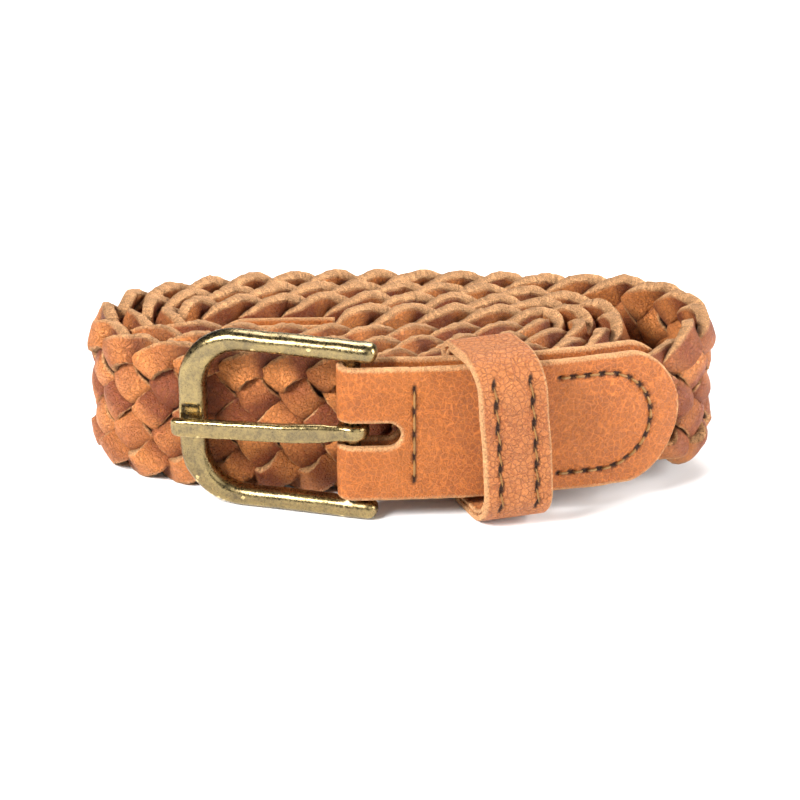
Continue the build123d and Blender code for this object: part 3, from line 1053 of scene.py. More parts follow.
        # Painted shade: the strand's faces darken where it dips under its neighbours, less near
        # the strap's edges.
        over = offset / self.crossing * np.sign(side)
        hidden = (1 - ease(over, *self.painted_shade_range)) * (1 - self.painted_shade_fade * near_edge)
        dye(strip, np.maximum(raw, folded), self.dye_swing.at(t, number) + self.dye_base, hidden)
        smooth(strip, 70)
        hand_over(strip, self.leather, "strap", f"strand_{number + 1}")

    def build(self) -> None:
        """Makes all the strands."""
        for number in range(self.strands):
            self.strand(number)


# ---- flat leather pieces and their seams ----------------------------------

@dataclass
class Stitch:
    """One stitch in a flat pattern: its middle, direction and length."""

    along: float
    height: float
    angle: float
    length: float
    hole_reach: float = 1.08

    def ends(self) -> list[tuple[float, float]]:
        """The stitch's two holes."""
        half = self.length / 2 * self.hole_reach
        run, rise = half * cos(self.angle), half * sin(self.angle)
        return [(self.along - run, self.height - rise), (self.along + run, self.height + rise)]


def hole_depth(along: Array, height: Array, seam: list[Stitch], size: float,
               stretch: float = 1.0, slant: float = 0.0) -> Array:
    """How deep the leather is drawn in by the seam's holes, from 0 to 1.

    Args:
        along: places in the flat pattern.
        height: heights in the flat pattern.
        seam: the stitches.
        size: radius of a hole.
        stretch: how much longer a hole is along its stitch.
        slant: angle by which each hole is turned, in radians.

    Returns:
        The depth at each place.
    """
    depth = np.zeros_like(along)
    far = 6 * size
    for stitch in seam:
        turn = stitch.angle + slant
        for x, y in stitch.ends():
            near = (np.abs(along - x) < far) & (np.abs(height - y) < far)
            dx, dy = along[near] - x, height[near] - y
            run = (dx * cos(turn) + dy * sin(turn)) / stretch
            off = -dx * sin(turn) + dy * cos(turn)
            gap = np.hypot(run, off)
            depth[near] = np.maximum(depth[near], np.exp(-((gap / size) ** 2)))
    return depth


def bed_depth(along: Array, height: Array, seam: list[Stitch], size: float) -> Array:
    """How deep the thread presses the leather along each stitch, from 0 to 1.

    Args:
        along: places in the flat pattern.
        height: heights in the flat pattern.
        seam: the stitches.
        size: half the width of the pressed bed.

    Returns:
        The depth at each place.
    """
    depth = np.zeros_like(along)
    for stitch in seam:
        dx = along - stitch.along
        dy = height - stitch.height
        run = dx * cos(stitch.angle) + dy * sin(stitch.angle)
        off = -dx * sin(stitch.angle) + dy * cos(stitch.angle)
        past = np.maximum(np.abs(run) - stitch.length / 2, 0)
        depth = np.maximum(depth, np.exp(-((off**2 + past**2) / size**2)))
    return depth


@dataclass(frozen=True)
class StitchShape:
    """How a stitch of thread is rounded off and dips into its holes."""

    segments: int = 14
    rings: int = 9
    bluntness: float = 0.8
    taper: float = 0.25
    taper_power: float = 3
    rise: float = 0.55
    dip: float = 1.5
    dip_power: float = 4
    uv_along: float = 3.0
    uv_round: float = 0.8
    sharp: float = 80.0


def thread_piece(name: str, seam: list[Stitch], wrap: object, radius: float,
                 slant: float = 0.0, form: StitchShape = StitchShape()) -> bpy.types.Object:
    """Threads of a seam, each a rounded stitch that dips into its holes.

    Args:
        name: the piece's name.
        seam: the stitches in the flat pattern.
        wrap: function that lays flat points (along, height, rise) on the leather.
        radius: the thread's radius.
        slant: angle that each stitch is turned by, in radians.
        form: how each stitch is rounded off.

    Returns:
        The joined piece.
    """
    deselect()
    bpy.ops.mesh.primitive_uv_sphere_add(segments=form.segments, ring_count=form.rings, radius=1.0)
    seed = bpy.context.object
    x, y, z = vertices_of(seed).T
    out = np.abs(x)
    taper = (1 - form.taper * out**form.taper_power) * radius
    lift = radius * (form.rise - form.dip * out**form.dip_power)
    parts = []
    for stitch in seam:
        copy = seed.copy()
        copy.data = seed.data.copy()
        bpy.context.collection.objects.link(copy)
        run = np.sign(x) * out**form.bluntness * stitch.length / 2
        off = y * taper
        angle = stitch.angle + slant
        along = stitch.along + run * cos(angle) - off * sin(angle)
        height = stitch.height + run * sin(angle) + off * cos(angle)
        set_vertices(copy, wrap(along, height, z * taper + lift))
        lay_uv(copy, run * form.uv_along + stitch.along, np.arctan2(z, y) * form.uv_round)
        parts.append(copy)
    bpy.data.objects.remove(seed)
    piece = joined(name, parts)
    point_outwards(piece)
    smooth(piece, form.sharp)
    return piece


@dataclass
class Tab:
    """The buckle tab: a strip folded round the bar, and its two seams."""

    coil: Coil
    leather: bpy.types.Material
    thread: bpy.types.Material
    width: float = 30.0
    middle: float = 20.0
    thickness: float = 1.7
    gap: float = 3.6
    length: float = 69.5
    back_extra: float = 2.2
    point: float = 12.0
    point_shape: Span = (1.9, 0.60)
    least_width: float = 0.02
    slot_reach: float = 9.8
    slot_height: float = 5.6
    slot_sides: int = 64
    cross_at: float = 12.5
    cross_pitch: float = 5.2
    cross_share: float = 0.82
    cross_margin: float = 5.0
    end_pitch: float = 3.1
    end_share: float = 0.72
    end_inset: float = 4.0
    end_setback: float = 6.8
    seam_start: float = 40.0
    thread_radius: float = 0.29
    thread_sunk: float = 0.18
    columns: int = 400
    rows: int = 74
    edge_swings: tuple[Swing, Swing] = (Swing(0.10, 3.0, 23.0), Swing(0.05, 5.0, 7.0))
    swell_swings: tuple[Swing, Swing] = (Swing(0.10, 2.0, 17.0), Swing(0.05, 4.0, 9.0))
    swell_slope: float = 0.6
    fray: Swing = Swing(0.35, 7.0, 2.1)
    fray_slope: Span = (3, 2)
    fray_width: float = 1.25
    fray_power: float = 0.7
    fray_reach: float = 1.6
    rim: float = 0.75
    rim_share: float = 0.62
    end_hole: float = 0.52
    cross_hole: float = 0.46
    cross_hole_stretch: float = 2.2
    end_bed: float = 1.5
    cross_bed: float = 1.6
    cross_bed_share: float = 0.6
    hole_draw: float = 0.62
    bed_draw: float = 0.22
    dye_swing: Swing = Swing(0.30, 1.0, 31.0)
    # Painted shade along the pressed thread grooves and in the stitch holes.
    bed_painted_shade: float = 0.10
    hole_painted_shade: Span = (0.10, 0.45)

    @property
    def radius(self) -> float:
        """Radius of the fold at the leather's middle."""
        return (self.gap + self.thickness) / 2

    @property
    def half_fold(self) -> float:
        """Half the fold's length at the leather's middle."""
        return pi * self.radius / 2

    @property
    def ends(self) -> Span:
        """The strip's two ends, measured from the fold's middle."""
        return (-(self.length + self.back_extra + self.half_fold), self.length + self.half_fold)

    @property
    def slot_run(self) -> float:
        """From the fold's middle to the middle of the oblong hole's round end."""
        return self.slot_reach + self.half_fold - self.slot_height / 2

    def wrap(self, p: Array, height: Array, rise: Array) -> Array:
        """Lays the flat strip on the strap.

        Args:
            p: distance along the strip, 0 at the fold's middle, positive to the front.
            height: height from the tab's middle.
            rise: distance from the leather's middle towards its grain side.

        Returns:
            Points of the frame, in metres.
        """
        turn = np.clip(p / self.half_fold, -1, 1) * pi / 2
        straight = np.abs(p) - self.half_fold
        s = np.where(straight > 0, straight, -(self.radius + rise) * np.cos(turn))
        o = (self.radius + rise) * np.sin(turn)
        return self.coil.place(s, self.middle + height, o)

    def half_width(self, p: Array) -> Array:
        """Half the strip's width, with its rounded points.

        Args:
            p: distance along the strip from the fold's middle.

        Returns:
            The half width at each place.
        """
        back, front = self.ends
        left = np.clip(np.minimum(front - p, p - back) / self.point, 0, 1)
        inner, outer = self.point_shape
        shape = (1 - (1 - left) ** inner) ** outer
        wavy = sum(swing.at(p) for swing in self.edge_swings)
        return self.width / 2 * np.maximum(shape, self.least_width) + wavy * (left > 0.5)

    def cross_seam(self) -> list[Stitch]:
        """The upright row of long stitches."""
        count = int((self.width - self.cross_margin) / self.cross_pitch)
        p = self.cross_at + self.half_fold
        row = [(index - (count - 1) / 2) * self.cross_pitch for index in range(count)]
        return [Stitch(p, height, pi / 2, self.cross_pitch * self.cross_share) for height in row]

    def end_seam(self) -> list[Stitch]:
        """The D-shaped seam near the rounded end."""
        half = self.width / 2 - self.end_inset
        straight = self.length - self.end_setback - half
        length = self.end_pitch * self.end_share
        seam = []
        for index in range(int((straight - self.seam_start) / self.end_pitch)):
            p = self.half_fold + straight - (index + 0.5) * self.end_pitch
            seam.append(Stitch(p, half, 0.0, length))
            seam.append(Stitch(p, -half, 0.0, length))
        arc = int(pi * half / self.end_pitch)
        for index in range(arc):
            angle = pi / 2 - pi * (index + 0.5) / arc
            p = self.half_fold + straight + half * cos(angle)
            seam.append(Stitch(p, half * sin(angle), angle - pi / 2, length))
        return seam

    def slot_gap(self, p: Array, height: Array) -> Array:
        """Distance from the prong's oblong hole.

        Args:
            p: distance along the strip from the fold's middle.
            height: height from the tab's middle.

        Returns:
            The distance outside the hole, negative inside it.
        """
        past = np.maximum(np.abs(p) - self.slot_run, 0)
        return np.hypot(past, height) - self.slot_height / 2

    def border(self, p: Array, height: Array) -> Array:
        """Distance from the nearest cut edge, the outline's or the hole's.

        Args:
            p: distance along the strip from the fold's middle.
            height: height from the tab's middle.

        Returns:
            The distance, 0 on the edge and beyond it.
        """
        back, front = self.ends
        outline = np.minimum(self.half_width(p) - np.abs(height), np.minimum(front - p, p - back))
        return np.maximum(np.minimum(outline, np.maximum(self.slot_gap(p, height), 0)), 0)

    def strip(self) -> None:
        """Makes the folded strip with its oblong hole."""
        back, front = self.ends
        strip = leather_blank("buckle_tab_leather", self.columns, self.rows)
        u, v, level = vertices_of(strip).T
        p = back + u * (front - back)
        set_vertices(strip, np.stack([p, v * self.half_width(p), level], axis=-1))
        self.cut_slot(strip)
        p, height, level = vertices_of(strip).T
        border = self.border(p, height)
        end_seam, cross_seam = self.end_seam(), self.cross_seam()
        holes = np.maximum(
            hole_depth(p, height, end_seam, self.end_hole),
            hole_depth(p, height, cross_seam, self.cross_hole, self.cross_hole_stretch),
        )
        beds = np.maximum(
            bed_depth(p, height, end_seam, self.end_bed),
            self.cross_bed_share * bed_depth(p, height, cross_seam, self.cross_bed),
        )
        broad, narrow = self.swell_swings
        swell = broad.at(p + height * self.swell_slope) + narrow.at(height - p)
        grain = grain_side(level)
        rounding = rounded_rim(border, self.rim)
        rise = (level - 0.5) * self.thickness
        rise = rise * (self.rim_share + (1 - self.rim_share) * rounding)
        rise += np.where(grain, swell - self.hole_draw * holes - self.bed_draw * beds, 0.0)
        set_vertices(strip, self.wrap(p, height, rise))
        lay_uv(strip, p, height)
        run, climb = self.fray_slope
        frayed = border + self.fray.at(p * run + height * climb)
        fuzzy = np.clip(1 - frayed / self.fray_width, 0, 1) ** self.fray_power
        edge = np.where(walls(level), 1.0, fuzzy * (border < self.fray_reach))
        # Painted shade: darker along the pressed thread grooves and near black in the stitch
        # holes.
        dye(strip, edge, self.dye_swing.at(p) + self.bed_painted_shade * beds,
            ease(holes, *self.hole_painted_shade) * grain)
        point_outwards(strip)
        smooth(strip, 50)
        hand_over(strip, self.leather, "strap", "buckle_tab")

    def cut_slot(self, strip: bpy.types.Object) -> None:
        """Punches the prong's oblong hole through the flat strip.

        Args:
            strip: the strip, laid flat from z = 0 to z = 1.
        """
        deselect()
        bpy.ops.mesh.primitive_cylinder_add(vertices=self.slot_sides, depth=4,
                                            radius=self.slot_height / 2, location=(0, 0, 0))
        punch = bpy.context.object
        points = vertices_of(punch)
        points[:, 0] += np.where(points[:, 0] > 0, self.slot_run, -self.slot_run)
        points[:, 2] += 0.5
        set_vertices(punch, points)
        cut = strip.modifiers.new("slot", "BOOLEAN")
        cut.operation = "DIFFERENCE"
        cut.solver = "EXACT"
        cut.object = punch
        bpy.context.view_layer.objects.active = strip
        strip.select_set(True)
        bpy.ops.object.modifier_apply(modifier=cut.name)
        bpy.data.objects.remove(punch)
        deselect()

    def sew(self, name: str, node: str, seam: list[Stitch]) -> None:
        """Sews one seam on both faces of the tab.

        Args:
            name: the piece's name.
            node: the exact part that it replaces.
            seam: the stitches in the flat pattern.
        """
        surface = self.thickness / 2 - self.thread_sunk

        def front(along: Array, height: Array, rise: Array) -> Array:
            """Lays thread on the front layer."""
            return self.wrap(along, height, rise + surface)

        def back(along: Array, height: Array, rise: Array) -> Array:
            """Lays thread on the rear layer."""
            return self.wrap(-along, height, rise + surface)

        pieces = [thread_piece(name, seam, lay, self.thread_radius) for lay in (front, back)]
        hand_over(joined(name, pieces), self.thread, "strap", node)

    def build(self) -> None:
        """Makes the folded strip and the seams."""
        self.strip()
        self.sew("tab_cross_thread", "tab_cross_stitch", self.cross_seam())
        self.sew("tab_end_thread", "tab_end_stitch", self.end_seam())


@dataclass
class Tip:
    """The strap's hidden tip: two thin leathers over the braid's end."""

    coil: Coil
    leather: bpy.types.Material
    thread: bpy.types.Material
    length: float = 30.0
    width: float = 25.0
    middle: float = 16.55
    thickness: float = 1.0
    braid: float = 1.69
    overlap: float = 18.0
    closed: float = 3.0
    meet: float = 0.03
    point: float = 10.0
    point_shape: Span = (2.1, 0.55)
    least_width: float = 0.02
    rim: float = 0.6
    rim_share: float = 0.6
    fray_width: float = 1.1
    dye_swing: Swing = Swing(0.3, 6.0, 23.0)
    pitch: float = 3.4
    stitch_share: float = 0.72
    seam_inset: float = 3.0
    thread_radius: float = 0.34
    columns: int = 100
    rows: int = 34

    @property
    def start(self) -> float:
        """Where the leathers begin, along the strap."""
        return self.coil.length - self.length

    def half_width(self, s: Array) -> Array:
        """Half the tip's width.

        Args:
            s: distances along the strap.

        Returns:
            The half width at each place.
        """
        left = np.clip((self.coil.length - s) / self.point, 0, 1)
        inner, outer = self.point_shape
        shape = (1 - (1 - left) ** inner) ** outer
        return self.width / 2 * np.maximum(shape, self.least_width)

    def inner(self, s: Array) -> Array:
        """Inner offset of the leathers, which close up past the braid's end.

        Args:
            s: distances along the strap.

        Returns:
            The offset at each place.
        """
        closing = ease(s, self.start + self.overlap, self.coil.length - self.closed)
        return self.braid - (self.braid - self.meet) * closing

    def seam(self) -> list[Stitch]:
        """Two rows of stitches along the tip."""
        length = self.pitch * self.stitch_share
        edge = self.width / 2 - self.seam_inset
        count = int((self.length - self.point - 2 * self.seam_inset) / self.pitch)
        first = self.start + self.seam_inset
        return [Stitch(first + (index + 0.5) * self.pitch, height, 0.0, length)
                for index in range(count) for height in (edge, -edge)]

    def cover(self, face: Face, node: str) -> None:
        """Makes the leather on one face.

        Args:
            face: the face that it covers.
            node: the exact part that it replaces.
        """
        strip = leather_blank(f"{node}_leather", self.columns, self.rows)
        u, v, level = vertices_of(strip).T
        s = self.start + u * self.length
        half = self.half_width(s)
        border = np.minimum(half * (1 - np.abs(v)),
                            np.minimum(s - self.start, self.coil.length - s))
        rounding = rounded_rim(border, self.rim)
        through = (level - 0.5) * self.thickness
        through = through * (self.rim_share + (1 - self.rim_share) * rounding)
        o = face.value * (self.inner(s) + self.thickness / 2 + through)
        set_vertices(strip, self.coil.place(s, self.middle + v * half, o))
        lay_uv(strip, s, v * half)
        edge = np.clip(1 - border / self.fray_width, 0, 1)
        dye(strip, edge, self.dye_swing.at(s), np.zeros_like(s))
        point_outwards(strip)
        smooth(strip, 50)
        hand_over(strip, self.leather, "strap", node)

    def sew(self) -> None:
        """Sews the seam on both faces."""
        pieces = []
        for face in Face:

            def lay(along: Array, height: Array, rise: Array, face: Face = face) -> Array:
                """Lays thread on one face of the tip."""
                o = face.value * (self.inner(along) + self.thickness + rise)
                return self.coil.place(along, self.middle + height, o)

            pieces.append(thread_piece("tip_thread", self.seam(), lay, self.thread_radius))
        hand_over(joined("tip_thread", pieces), self.thread, "strap", "tip_stitch")

    def build(self) -> None:
        """Makes both leathers and the seam."""
        self.cover(Face.OUTER, "tip_front")
        self.cover(Face.INNER, "tip_back")
        self.sew()


@dataclass
class Keeper:
    """The sliding loop: outer leather, lining and two seams."""

    coil: Coil
    leather: bpy.types.Material
    thread: bpy.types.Material
    at: float = 31.5
    middle: float = 20.0
    width: float = 14.0
    outer: float = 1.5
    lining: float = 1.1
    corner: float = 1.8
    front_corner: float = 4.8
    low: float = -4.22
    high: float = 8.5
    skew: float = 4.0
    shear: float = 15.0
    height: float = 38.4
    bulge: float = 0.9
    lining_trim: float = 0.35
    joint_gap: float = 0.0015
    inset: float = 3.2
    pitch: float = 4.8
    stitch_share: float = 0.74
    thread_radius: float = 0.17
    thread_slant: float = 0.14
    thread_sunk: float = 0.24
    columns: int = 330
    rows: int = 40
    edge_swing: Swing = Swing(0.18, 2.0, 21.0)
    rim: float = 0.6
    rim_share: float = 0.60
    fray_width: float = 1.0
    fray_power: float = 0.8
    fray_share: float = 0.95
    front_depth: float = 2.0
    hole: float = 0.36
    hole_stretch: float = 3.2
    hole_slant: float = -0.30
    hole_draw: float = 0.5
    # Painted shade in the stitch holes, drawn out along each slanted stitch.
    hole_painted_shade: Span = (0.10, 0.45)
    bed: float = 1.3
    bed_draw: float = 0.26
    # Painted shade along the pressed thread grooves.
    bed_painted_shade: float = 0.08
    dye_swing: Swing = Swing(0.25, 9.0, 27.0)

    @property
    def half_depth(self) -> float:
        """Half the depth of the loop's hollow."""
        return (self.high - self.low) / 2

    @property
    def half_height(self) -> float:
        """Half the height of the loop's hollow."""
        return self.height / 2 - self.outer - self.lining

    @property
    def middle_depth(self) -> float:
        """Depth of the loop's hollow middle."""
        return (self.high + self.low) / 2

    @property
    def perimeter(self) -> float:
        """Length of the inner outline."""
        corners = self.corner + self.front_corner
        return 4 * (self.half_depth + self.half_height) - (4 - pi) * corners

    def outline(self, p: Array, out: Array) -> tuple[Array, Array]:
        """Rounded rectangle at a distance outside the inner face.

        Args:
            p: place round the loop, from 0 to 1, starting behind the tab.
            out: distance outside the lining's inner face.

        Returns:
            Depth (outwards) and height of the points.
        """
        wide, tall = self.half_depth, self.half_height
        back, front = self.corner, self.front_corner
        flat_back, flat_front = 2 * (tall - back), 2 * (tall - front)
        flat_side = 2 * wide - back - front
        run = (p * self.perimeter + flat_back / 2) % self.perimeter
        x = np.zeros_like(run)
        y = np.zeros_like(run)
        sides = (
            (flat_back, (-wide, tall - back), (0, -1), (-1, 0), back),
            (flat_side, (back - wide, -tall), (1, 0), (0, -1), front),
            (flat_front, (wide, front - tall), (0, 1), (1, 0), front),
            (flat_side, (wide - front, tall), (-1, 0), (0, 1), back),
        )
        begin = 0.0
        for size, corner, way, normal, radius in sides:
            on = (run >= begin) & (run <= begin + size)
            here = run[on] - begin
            x[on] = corner[0] + way[0] * here + normal[0] * out[on]
            y[on] = corner[1] + way[1] * here + normal[1] * out[on]
            begin += size
            arc = pi / 2 * radius
            bend = (run > begin) & (run < begin + arc)
            angle = (run[bend] - begin) / radius
            centre = (corner[0] + way[0] * size - normal[0] * radius,
                      corner[1] + way[1] * size - normal[1] * radius)
            reach = radius + out[bend]
            x[bend] = centre[0] + reach * (normal[0] * np.cos(angle) + way[0] * np.sin(angle))
            y[bend] = centre[1] + reach * (normal[1] * np.cos(angle) + way[1] * np.sin(angle))
            begin += arc
        return x + self.middle_depth, y

    def crown(self, height: Array) -> Array:
        """How far the loop's front bulges."""
        share = np.clip(height / (self.height / 2), -1, 1)
        return self.bulge * np.cos(share * pi / 2)

    def settle(self, depth: Array, height: Array, along: Array) -> Array:
        """Sets points of the keeper's own plane into the frame.

        Args:
            depth: distance outwards from the strap's middle line.
            height: height from the keeper's middle.
            along: distance along the strap from the keeper's middle.

        Returns:
            Points of the frame, in metres.
        """
        turn = radians(self.skew)
        along = along + (depth - self.high) * tan(radians(self.shear))
        lifted = height * cos(turn) + along * sin(turn)
        run = along * cos(turn) - height * sin(turn)
        here = self.coil.place(np.array([self.at] * 2), np.zeros(2), np.array([0.0, 1.0]))
        outwards = (here[1] - here[0]) / MM
        forward = np.array([-outwards[1], outwards[0], 0.0])
        points = here[0] / MM + outwards * depth[:, None] + forward * run[:, None]
        points[:, 2] = self.middle + self.coil.shift[2] + lifted
        return points * MM

    def seam(self, side: int) -> list[Stitch]:
        """One seam in the flat pattern of the keeper's front.

        Args:
            side: 1 for the left seam, -1 for the right one.

        Returns:
            The stitches, from the bottom up.
        """
        count = int(2 * (self.half_height - self.front_corner) / self.pitch) + 2
        along = side * (self.width / 2 - self.inset)
        length = self.pitch * self.stitch_share
        first = -(count - 1) / 2 * self.pitch
        return [Stitch(along, first + index * self.pitch, pi / 2, length)
                for index in range(count)]

    def band(self, node: str, low: float, high: float, trim: float) -> None:
        """Makes one leather of the loop.

        Args:
            node: the exact part that it replaces.
            low: distance of its inner face from the lining's inner face.
            high: distance of its outer face.
            trim: how much narrower it is on each side, 0 for the outer leather.
        """
        strip = leather_blank(f"{node}_leather", self.columns, self.rows)
        u, v, level = vertices_of(strip).T
        run = u * self.perimeter
        half = self.width / 2 - trim
        along = v * half + self.edge_swing.at(run)
        border = half * (1 - np.abs(v))
        middle = (low + high) / 2
        rounding = rounded_rim(border, self.rim)
        through = (level - 0.5) * (high - low)
        through = through * (self.rim_share + (1 - self.rim_share) * rounding)
        depth, height = self.outline(u, np.full_like(u, middle))
        front = depth > self.high - self.front_depth
        seams = self.seam(1) + self.seam(-1)
        holes = front * hole_depth(along, height, seams, self.hole, self.hole_stretch,
                                   self.hole_slant)
        beds = front * bed_depth(along, height, seams, self.bed)
        sewn = grain_side(level) & (trim == 0.0)
        through -= np.where(sewn, self.hole_draw * holes + self.bed_draw * beds, 0.0)
        place = u * (1 - self.joint_gap) + self.joint_gap / 2
        depth, height = self.outline(place, middle + through)
        crown = self.crown(height) * ease(depth, self.middle_depth, self.high)
        set_vertices(strip, self.settle(depth + crown, height, along))
        lay_uv(strip, run, along)
        fuzzy = np.clip(1 - border / self.fray_width, 0, 1) ** self.fray_power
        edge = np.where(walls(level), 1.0, fuzzy * self.fray_share)
        # Painted shade: darker along the thread grooves and near black in the stitch holes of the
        # outer leather.
        shade = self.dye_swing.at(run) + self.bed_painted_shade * beds
        dye(strip, edge, shade, ease(holes, *self.hole_painted_shade) * sewn)
        point_outwards(strip)
        smooth(strip, 50)
        hand_over(strip, self.leather, "keeper", node)

    def build(self) -> None:
        """Makes the loop's leathers and its seams."""
        self.band("keeper_outer", self.lining, self.lining + self.outer, 0.0)
        self.band("keeper_lining", 0.0, self.lining, self.lining_trim)
        face = self.high + self.outer + self.lining - self.thread_sunk

        def lay(along: Array, height: Array, rise: Array) -> Array:
            """Lays thread on the keeper's front."""
            return self.settle(face + rise + self.crown(height), height, along)

        for side, name in ((1, "left"), (-1, "right")):
            piece = thread_piece(f"keeper_thread_{name}", self.seam(side), lay,
                                 self.thread_radius, self.thread_slant)
            hand_over(piece, self.thread, "keeper", f"keeper_stitch_{name}")


# ---- the buckle -----------------------------------------------------------

@dataclass
class Buckle:
    """Cast frame and prong, refined from the exact parts."""

    nodes: dict[str, bpy.types.Object]
    metal: bpy.types.Material
    bar: Vector
    weld: float = 0.000005
    grain_size: float = 0.00028
    relax_factor: float = 0.5
    relax_rounds: int = 34
    uneven: tuple[Swing, Swing] = (Swing(0.05, 1.0, 9.0), Swing(0.04, 2.0, 7.0))
    uneven_slope: Span = (0.6, 0.4)
    waist: float = 0.15
    waist_start: Span = (1.4, 3.6)
    waist_stop: Span = (3.9, 7.0)

    def copied(self, node: str) -> bpy.types.Object:
        """Copies one exact part, with its triangles merged into one skin.

        Args:
            node: the part's name.

        Returns:
            The copy, which is left active and selected.
        """
        deselect()
        source = self.nodes[node]
        copy = source.copy()
        copy.data = source.data.copy()
        copy.parent = None
        copy.matrix_world = source.matrix_world
        for old in list(copy.keys()):
            del copy[old]
        bpy.context.collection.objects.link(copy)
        copy.hide_render = False
        copy.name = f"{node}_cast"
        copy.data.name = copy.name
        bpy.context.view_layer.objects.active = copy
        copy.select_set(True)
        bpy.ops.object.mode_set(mode="EDIT")
        bpy.ops.mesh.select_all(action="SELECT")
        bpy.ops.mesh.remove_doubles(threshold=self.weld)
        bpy.ops.mesh.normals_make_consistent(inside=False)
        bpy.ops.object.mode_set(mode="OBJECT")
        return copy

    def narrowed(self, points: Array) -> Array:
        """Heights of the prong's points, drawn in just past its eye.

        Args:
            points: the prong's points, in metres.

        Returns:
            Their new heights, in metres.
        """
        gap = np.hypot(*(points[:, :2] - np.array(self.bar[:2])).T) / MM
        waist = self.waist * ease(gap, *self.waist_start) * (1 - ease(gap, *self.waist_stop))
        return self.bar[2] + (points[:, 2] - self.bar[2]) * (1 - waist)

    def cast(self, node: str, body: str) -> None:
        """Makes a remeshed and slightly uneven copy of one metal part.

        Args:
            node: the exact part that it replaces.
            body: the body that it rides on.
        """
        copy = self.copied(node)
        remesh = copy.modifiers.new("cast", "REMESH")
        remesh.mode = "VOXEL"
        remesh.voxel_size = self.grain_size
        bpy.ops.object.modifier_apply(modifier=remesh.name)
        relax = copy.modifiers.new("relax", "SMOOTH")
        relax.factor = self.relax_factor
        relax.iterations = self.relax_rounds
        bpy.ops.object.modifier_apply(modifier=relax.name)
        points = vertices_of(copy)
        x, y, z = (points / MM).T
        along, upwards = self.uneven
        slope, tilt = self.uneven_slope
        uneven = along.at(x + slope * y) + upwards.at(z - tilt * x)
        if node == "prong":
            points[:, 2] = self.narrowed(points)
        normals = np.empty(len(points) * 3)
        copy.data.vertices.foreach_get("normal", normals)
        set_vertices(copy, points + normals.reshape(-1, 3) * uneven[:, None] * MM)
        smooth(copy, 60)
        hand_over(copy, self.metal, body, node)

    def build(self) -> None:
        """Makes the frame and the prong."""
        self.cast("buckle_frame", "frame")
        self.cast("prong", "prong")


# ---- the set --------------------------------------------------------------

@dataclass(frozen=True)
class Lamp:
    """A square soft light: its name, its place, its width in metres and its power in watts."""

    name: str
    where: tuple[float, float, float]
    size: float
    power: float


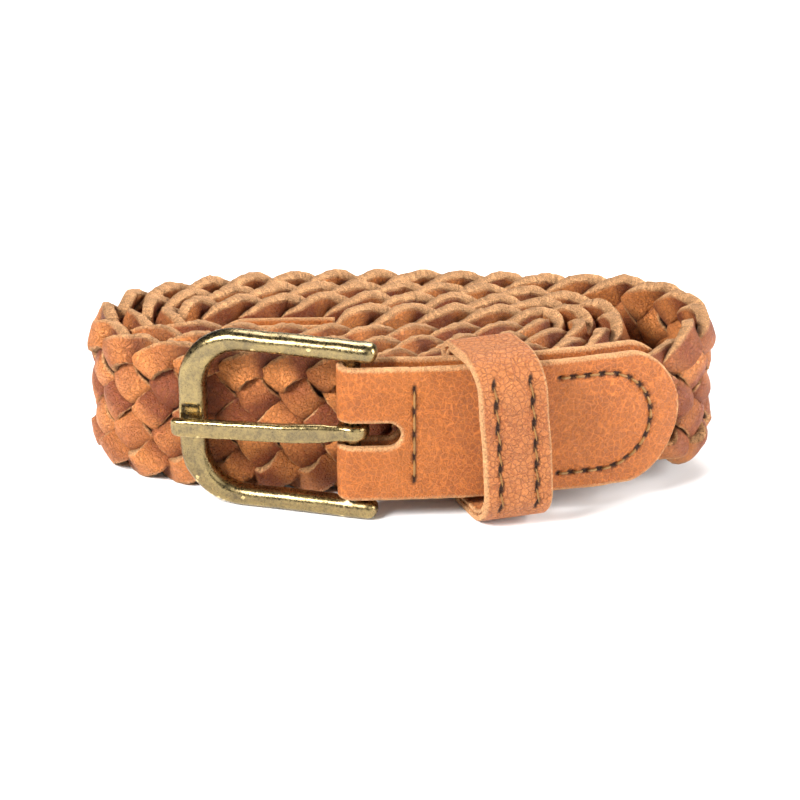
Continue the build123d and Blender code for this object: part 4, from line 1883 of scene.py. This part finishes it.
@dataclass
class Studio:
    """Pale floor, soft lights and the camera."""

    target: Vector
    distance: float = 0.600
    elevation: float = 24.0
    lens: float = 121.9
    clip_start: float = 0.01
    horizon: float = 0.55
    zenith: float = 1.45
    sky_range: Span = (0.05, 0.80)
    floor_size: float = 40.0
    floor_shade: float = 0.92
    floor_roughness: float = 0.9
    lamps: tuple[Lamp, ...] = (
        Lamp("key", (-0.50, -0.40, 0.50), 0.30, 12.5),
        Lamp("side", (0.72, -0.08, 0.25), 0.45, 9.0),
        Lamp("fill", (0.30, -0.62, 0.35), 0.5, 1.3),
        Lamp("back", (0.1, 0.6, 0.6), 0.4, 6.0),
    )

    def floor(self) -> None:
        """A wide, flat, pale floor."""
        deselect()
        bpy.ops.mesh.primitive_plane_add(size=self.floor_size, location=(0, 0, 0))
        floor = bpy.context.object
        floor.name = "studio_floor"
        nodes = Nodes("studio_floor")
        shade = (self.floor_shade, self.floor_shade, self.floor_shade, 1)
        nodes.shader.inputs["Base Color"].default_value = shade
        nodes.shader.inputs["Roughness"].default_value = self.floor_roughness
        floor.data.materials.append(nodes.material)

    def hang(self, lamp: Lamp) -> None:
        """Hangs one light so that it faces the belt.

        Args:
            lamp: the light.
        """
        data = bpy.data.lights.new(lamp.name, "AREA")
        data.size = lamp.size
        data.energy = lamp.power
        where = Vector(lamp.where)
        light = bpy.data.objects.new(lamp.name, data)
        light.location = where
        light.rotation_euler = (self.target - where).to_track_quat("-Z", "Y").to_euler()
        bpy.context.collection.objects.link(light)

    def sky(self) -> None:
        """A background that lights from above and that the camera sees as white."""
        world = bpy.data.worlds.new("studio")
        world.use_nodes = True
        tree = world.node_tree
        where = tree.nodes.new("ShaderNodeTexCoord")
        split = tree.nodes.new("ShaderNodeSeparateXYZ")
        grade = tree.nodes.new("ShaderNodeMapRange")
        low, high = self.sky_range
        grade.inputs["From Min"].default_value = low
        grade.inputs["From Max"].default_value = high
        grade.inputs["To Min"].default_value = self.horizon
        grade.inputs["To Max"].default_value = self.zenith
        tree.links.new(where.outputs["Generated"], split.inputs[0])
        tree.links.new(split.outputs["Z"], grade.inputs["Value"])
        tree.links.new(grade.outputs["Result"], tree.nodes["Background"].inputs[1])
        seen = tree.nodes.new("ShaderNodeBackground")
        seen.inputs[0].default_value = (1, 1, 1, 1)
        path = tree.nodes.new("ShaderNodeLightPath")
        blend = tree.nodes.new("ShaderNodeMixShader")
        tree.links.new(path.outputs["Is Camera Ray"], blend.inputs[0])
        tree.links.new(tree.nodes["Background"].outputs[0], blend.inputs[1])
        tree.links.new(seen.outputs[0], blend.inputs[2])
        tree.links.new(blend.outputs[0], tree.nodes["World Output"].inputs[0])
        bpy.context.scene.world = world

    def camera(self) -> None:
        """Sets up the camera in front of the buckle, looking down a little."""
        data = bpy.data.cameras.new("camera")
        data.lens = self.lens
        data.clip_start = self.clip_start
        camera = bpy.data.objects.new("camera", data)
        tilt = radians(self.elevation)
        camera.location = self.target + Vector((0, -cos(tilt), sin(tilt))) * self.distance
        camera.rotation_euler = (radians(90) - tilt, 0, 0)
        bpy.context.collection.objects.link(camera)
        bpy.context.scene.camera = camera
        bpy.context.scene.view_settings.view_transform = "Standard"

    def build(self) -> None:
        """Sets the floor, lights, background and camera."""
        self.floor()
        for lamp in self.lamps:
            self.hang(lamp)
        self.sky()
        self.camera()


def strap_leather() -> Leather:
    """The strands' leather: deep wrinkles and a dye that varies from strand to strand."""
    return Leather(
        "braid_leather", light=(0.63, 0.215, 0.052), dark=(0.215, 0.045, 0.010),
        wrinkle=1.5, wrinkle_depth=0.00034, pebble=1000.0, pebble_depth=0.00018,
        net=0.42, variety=0.78,
    )


def tab_leather() -> Leather:
    """The tab's leather: smooth, with fine light creases."""
    return Leather(
        "tab_leather", light=(0.41, 0.119, 0.020), dark=(0.22, 0.044, 0.006),
        wrinkle=1.1, wrinkle_depth=0.00020, pebble=760.0, pebble_depth=0.00008,
        net=0.78, net_is_light=True, vein_light=0.90,
    )


def keeper_leather() -> Leather:
    """The keeper's leather: pebbled, with dark lines between the pebbles."""
    return Leather(
        "keeper_leather", light=(0.55, 0.195, 0.052), dark=(0.27, 0.062, 0.014),
        wrinkle=1.2, wrinkle_depth=0.00018, pebble=850.0, pebble_depth=0.00030,
        net=0.66, vein_light=0.60,
    )


def main() -> None:
    """Builds the belt round the frame, piece by piece."""
    logging.basicConfig(level=logging.INFO, format="%(name)s: %(message)s")
    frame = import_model()
    deselect()
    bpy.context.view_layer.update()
    joints = {joint["name"]: joint for joint in frame["record"]["behaviour"]["joints"]}
    bar = Vector(joints["frame_swing"]["pos_m"])
    coil = Coil()
    coil.align(bar, Tab.middle)
    tab, thread = tab_leather().make(), Thread().make()
    Braid(coil, strap_leather().make()).build()
    Tab(coil, tab, thread).build()
    Tip(coil, tab, thread).build()
    Keeper(coil, keeper_leather().make(), thread).build()
    Buckle(frame["nodes"], AntiqueBrass().make(), bar).build()
    Studio(Vector((0.0, 0.0074, 0.012))).build()


if __name__ == "__main__":
    main()
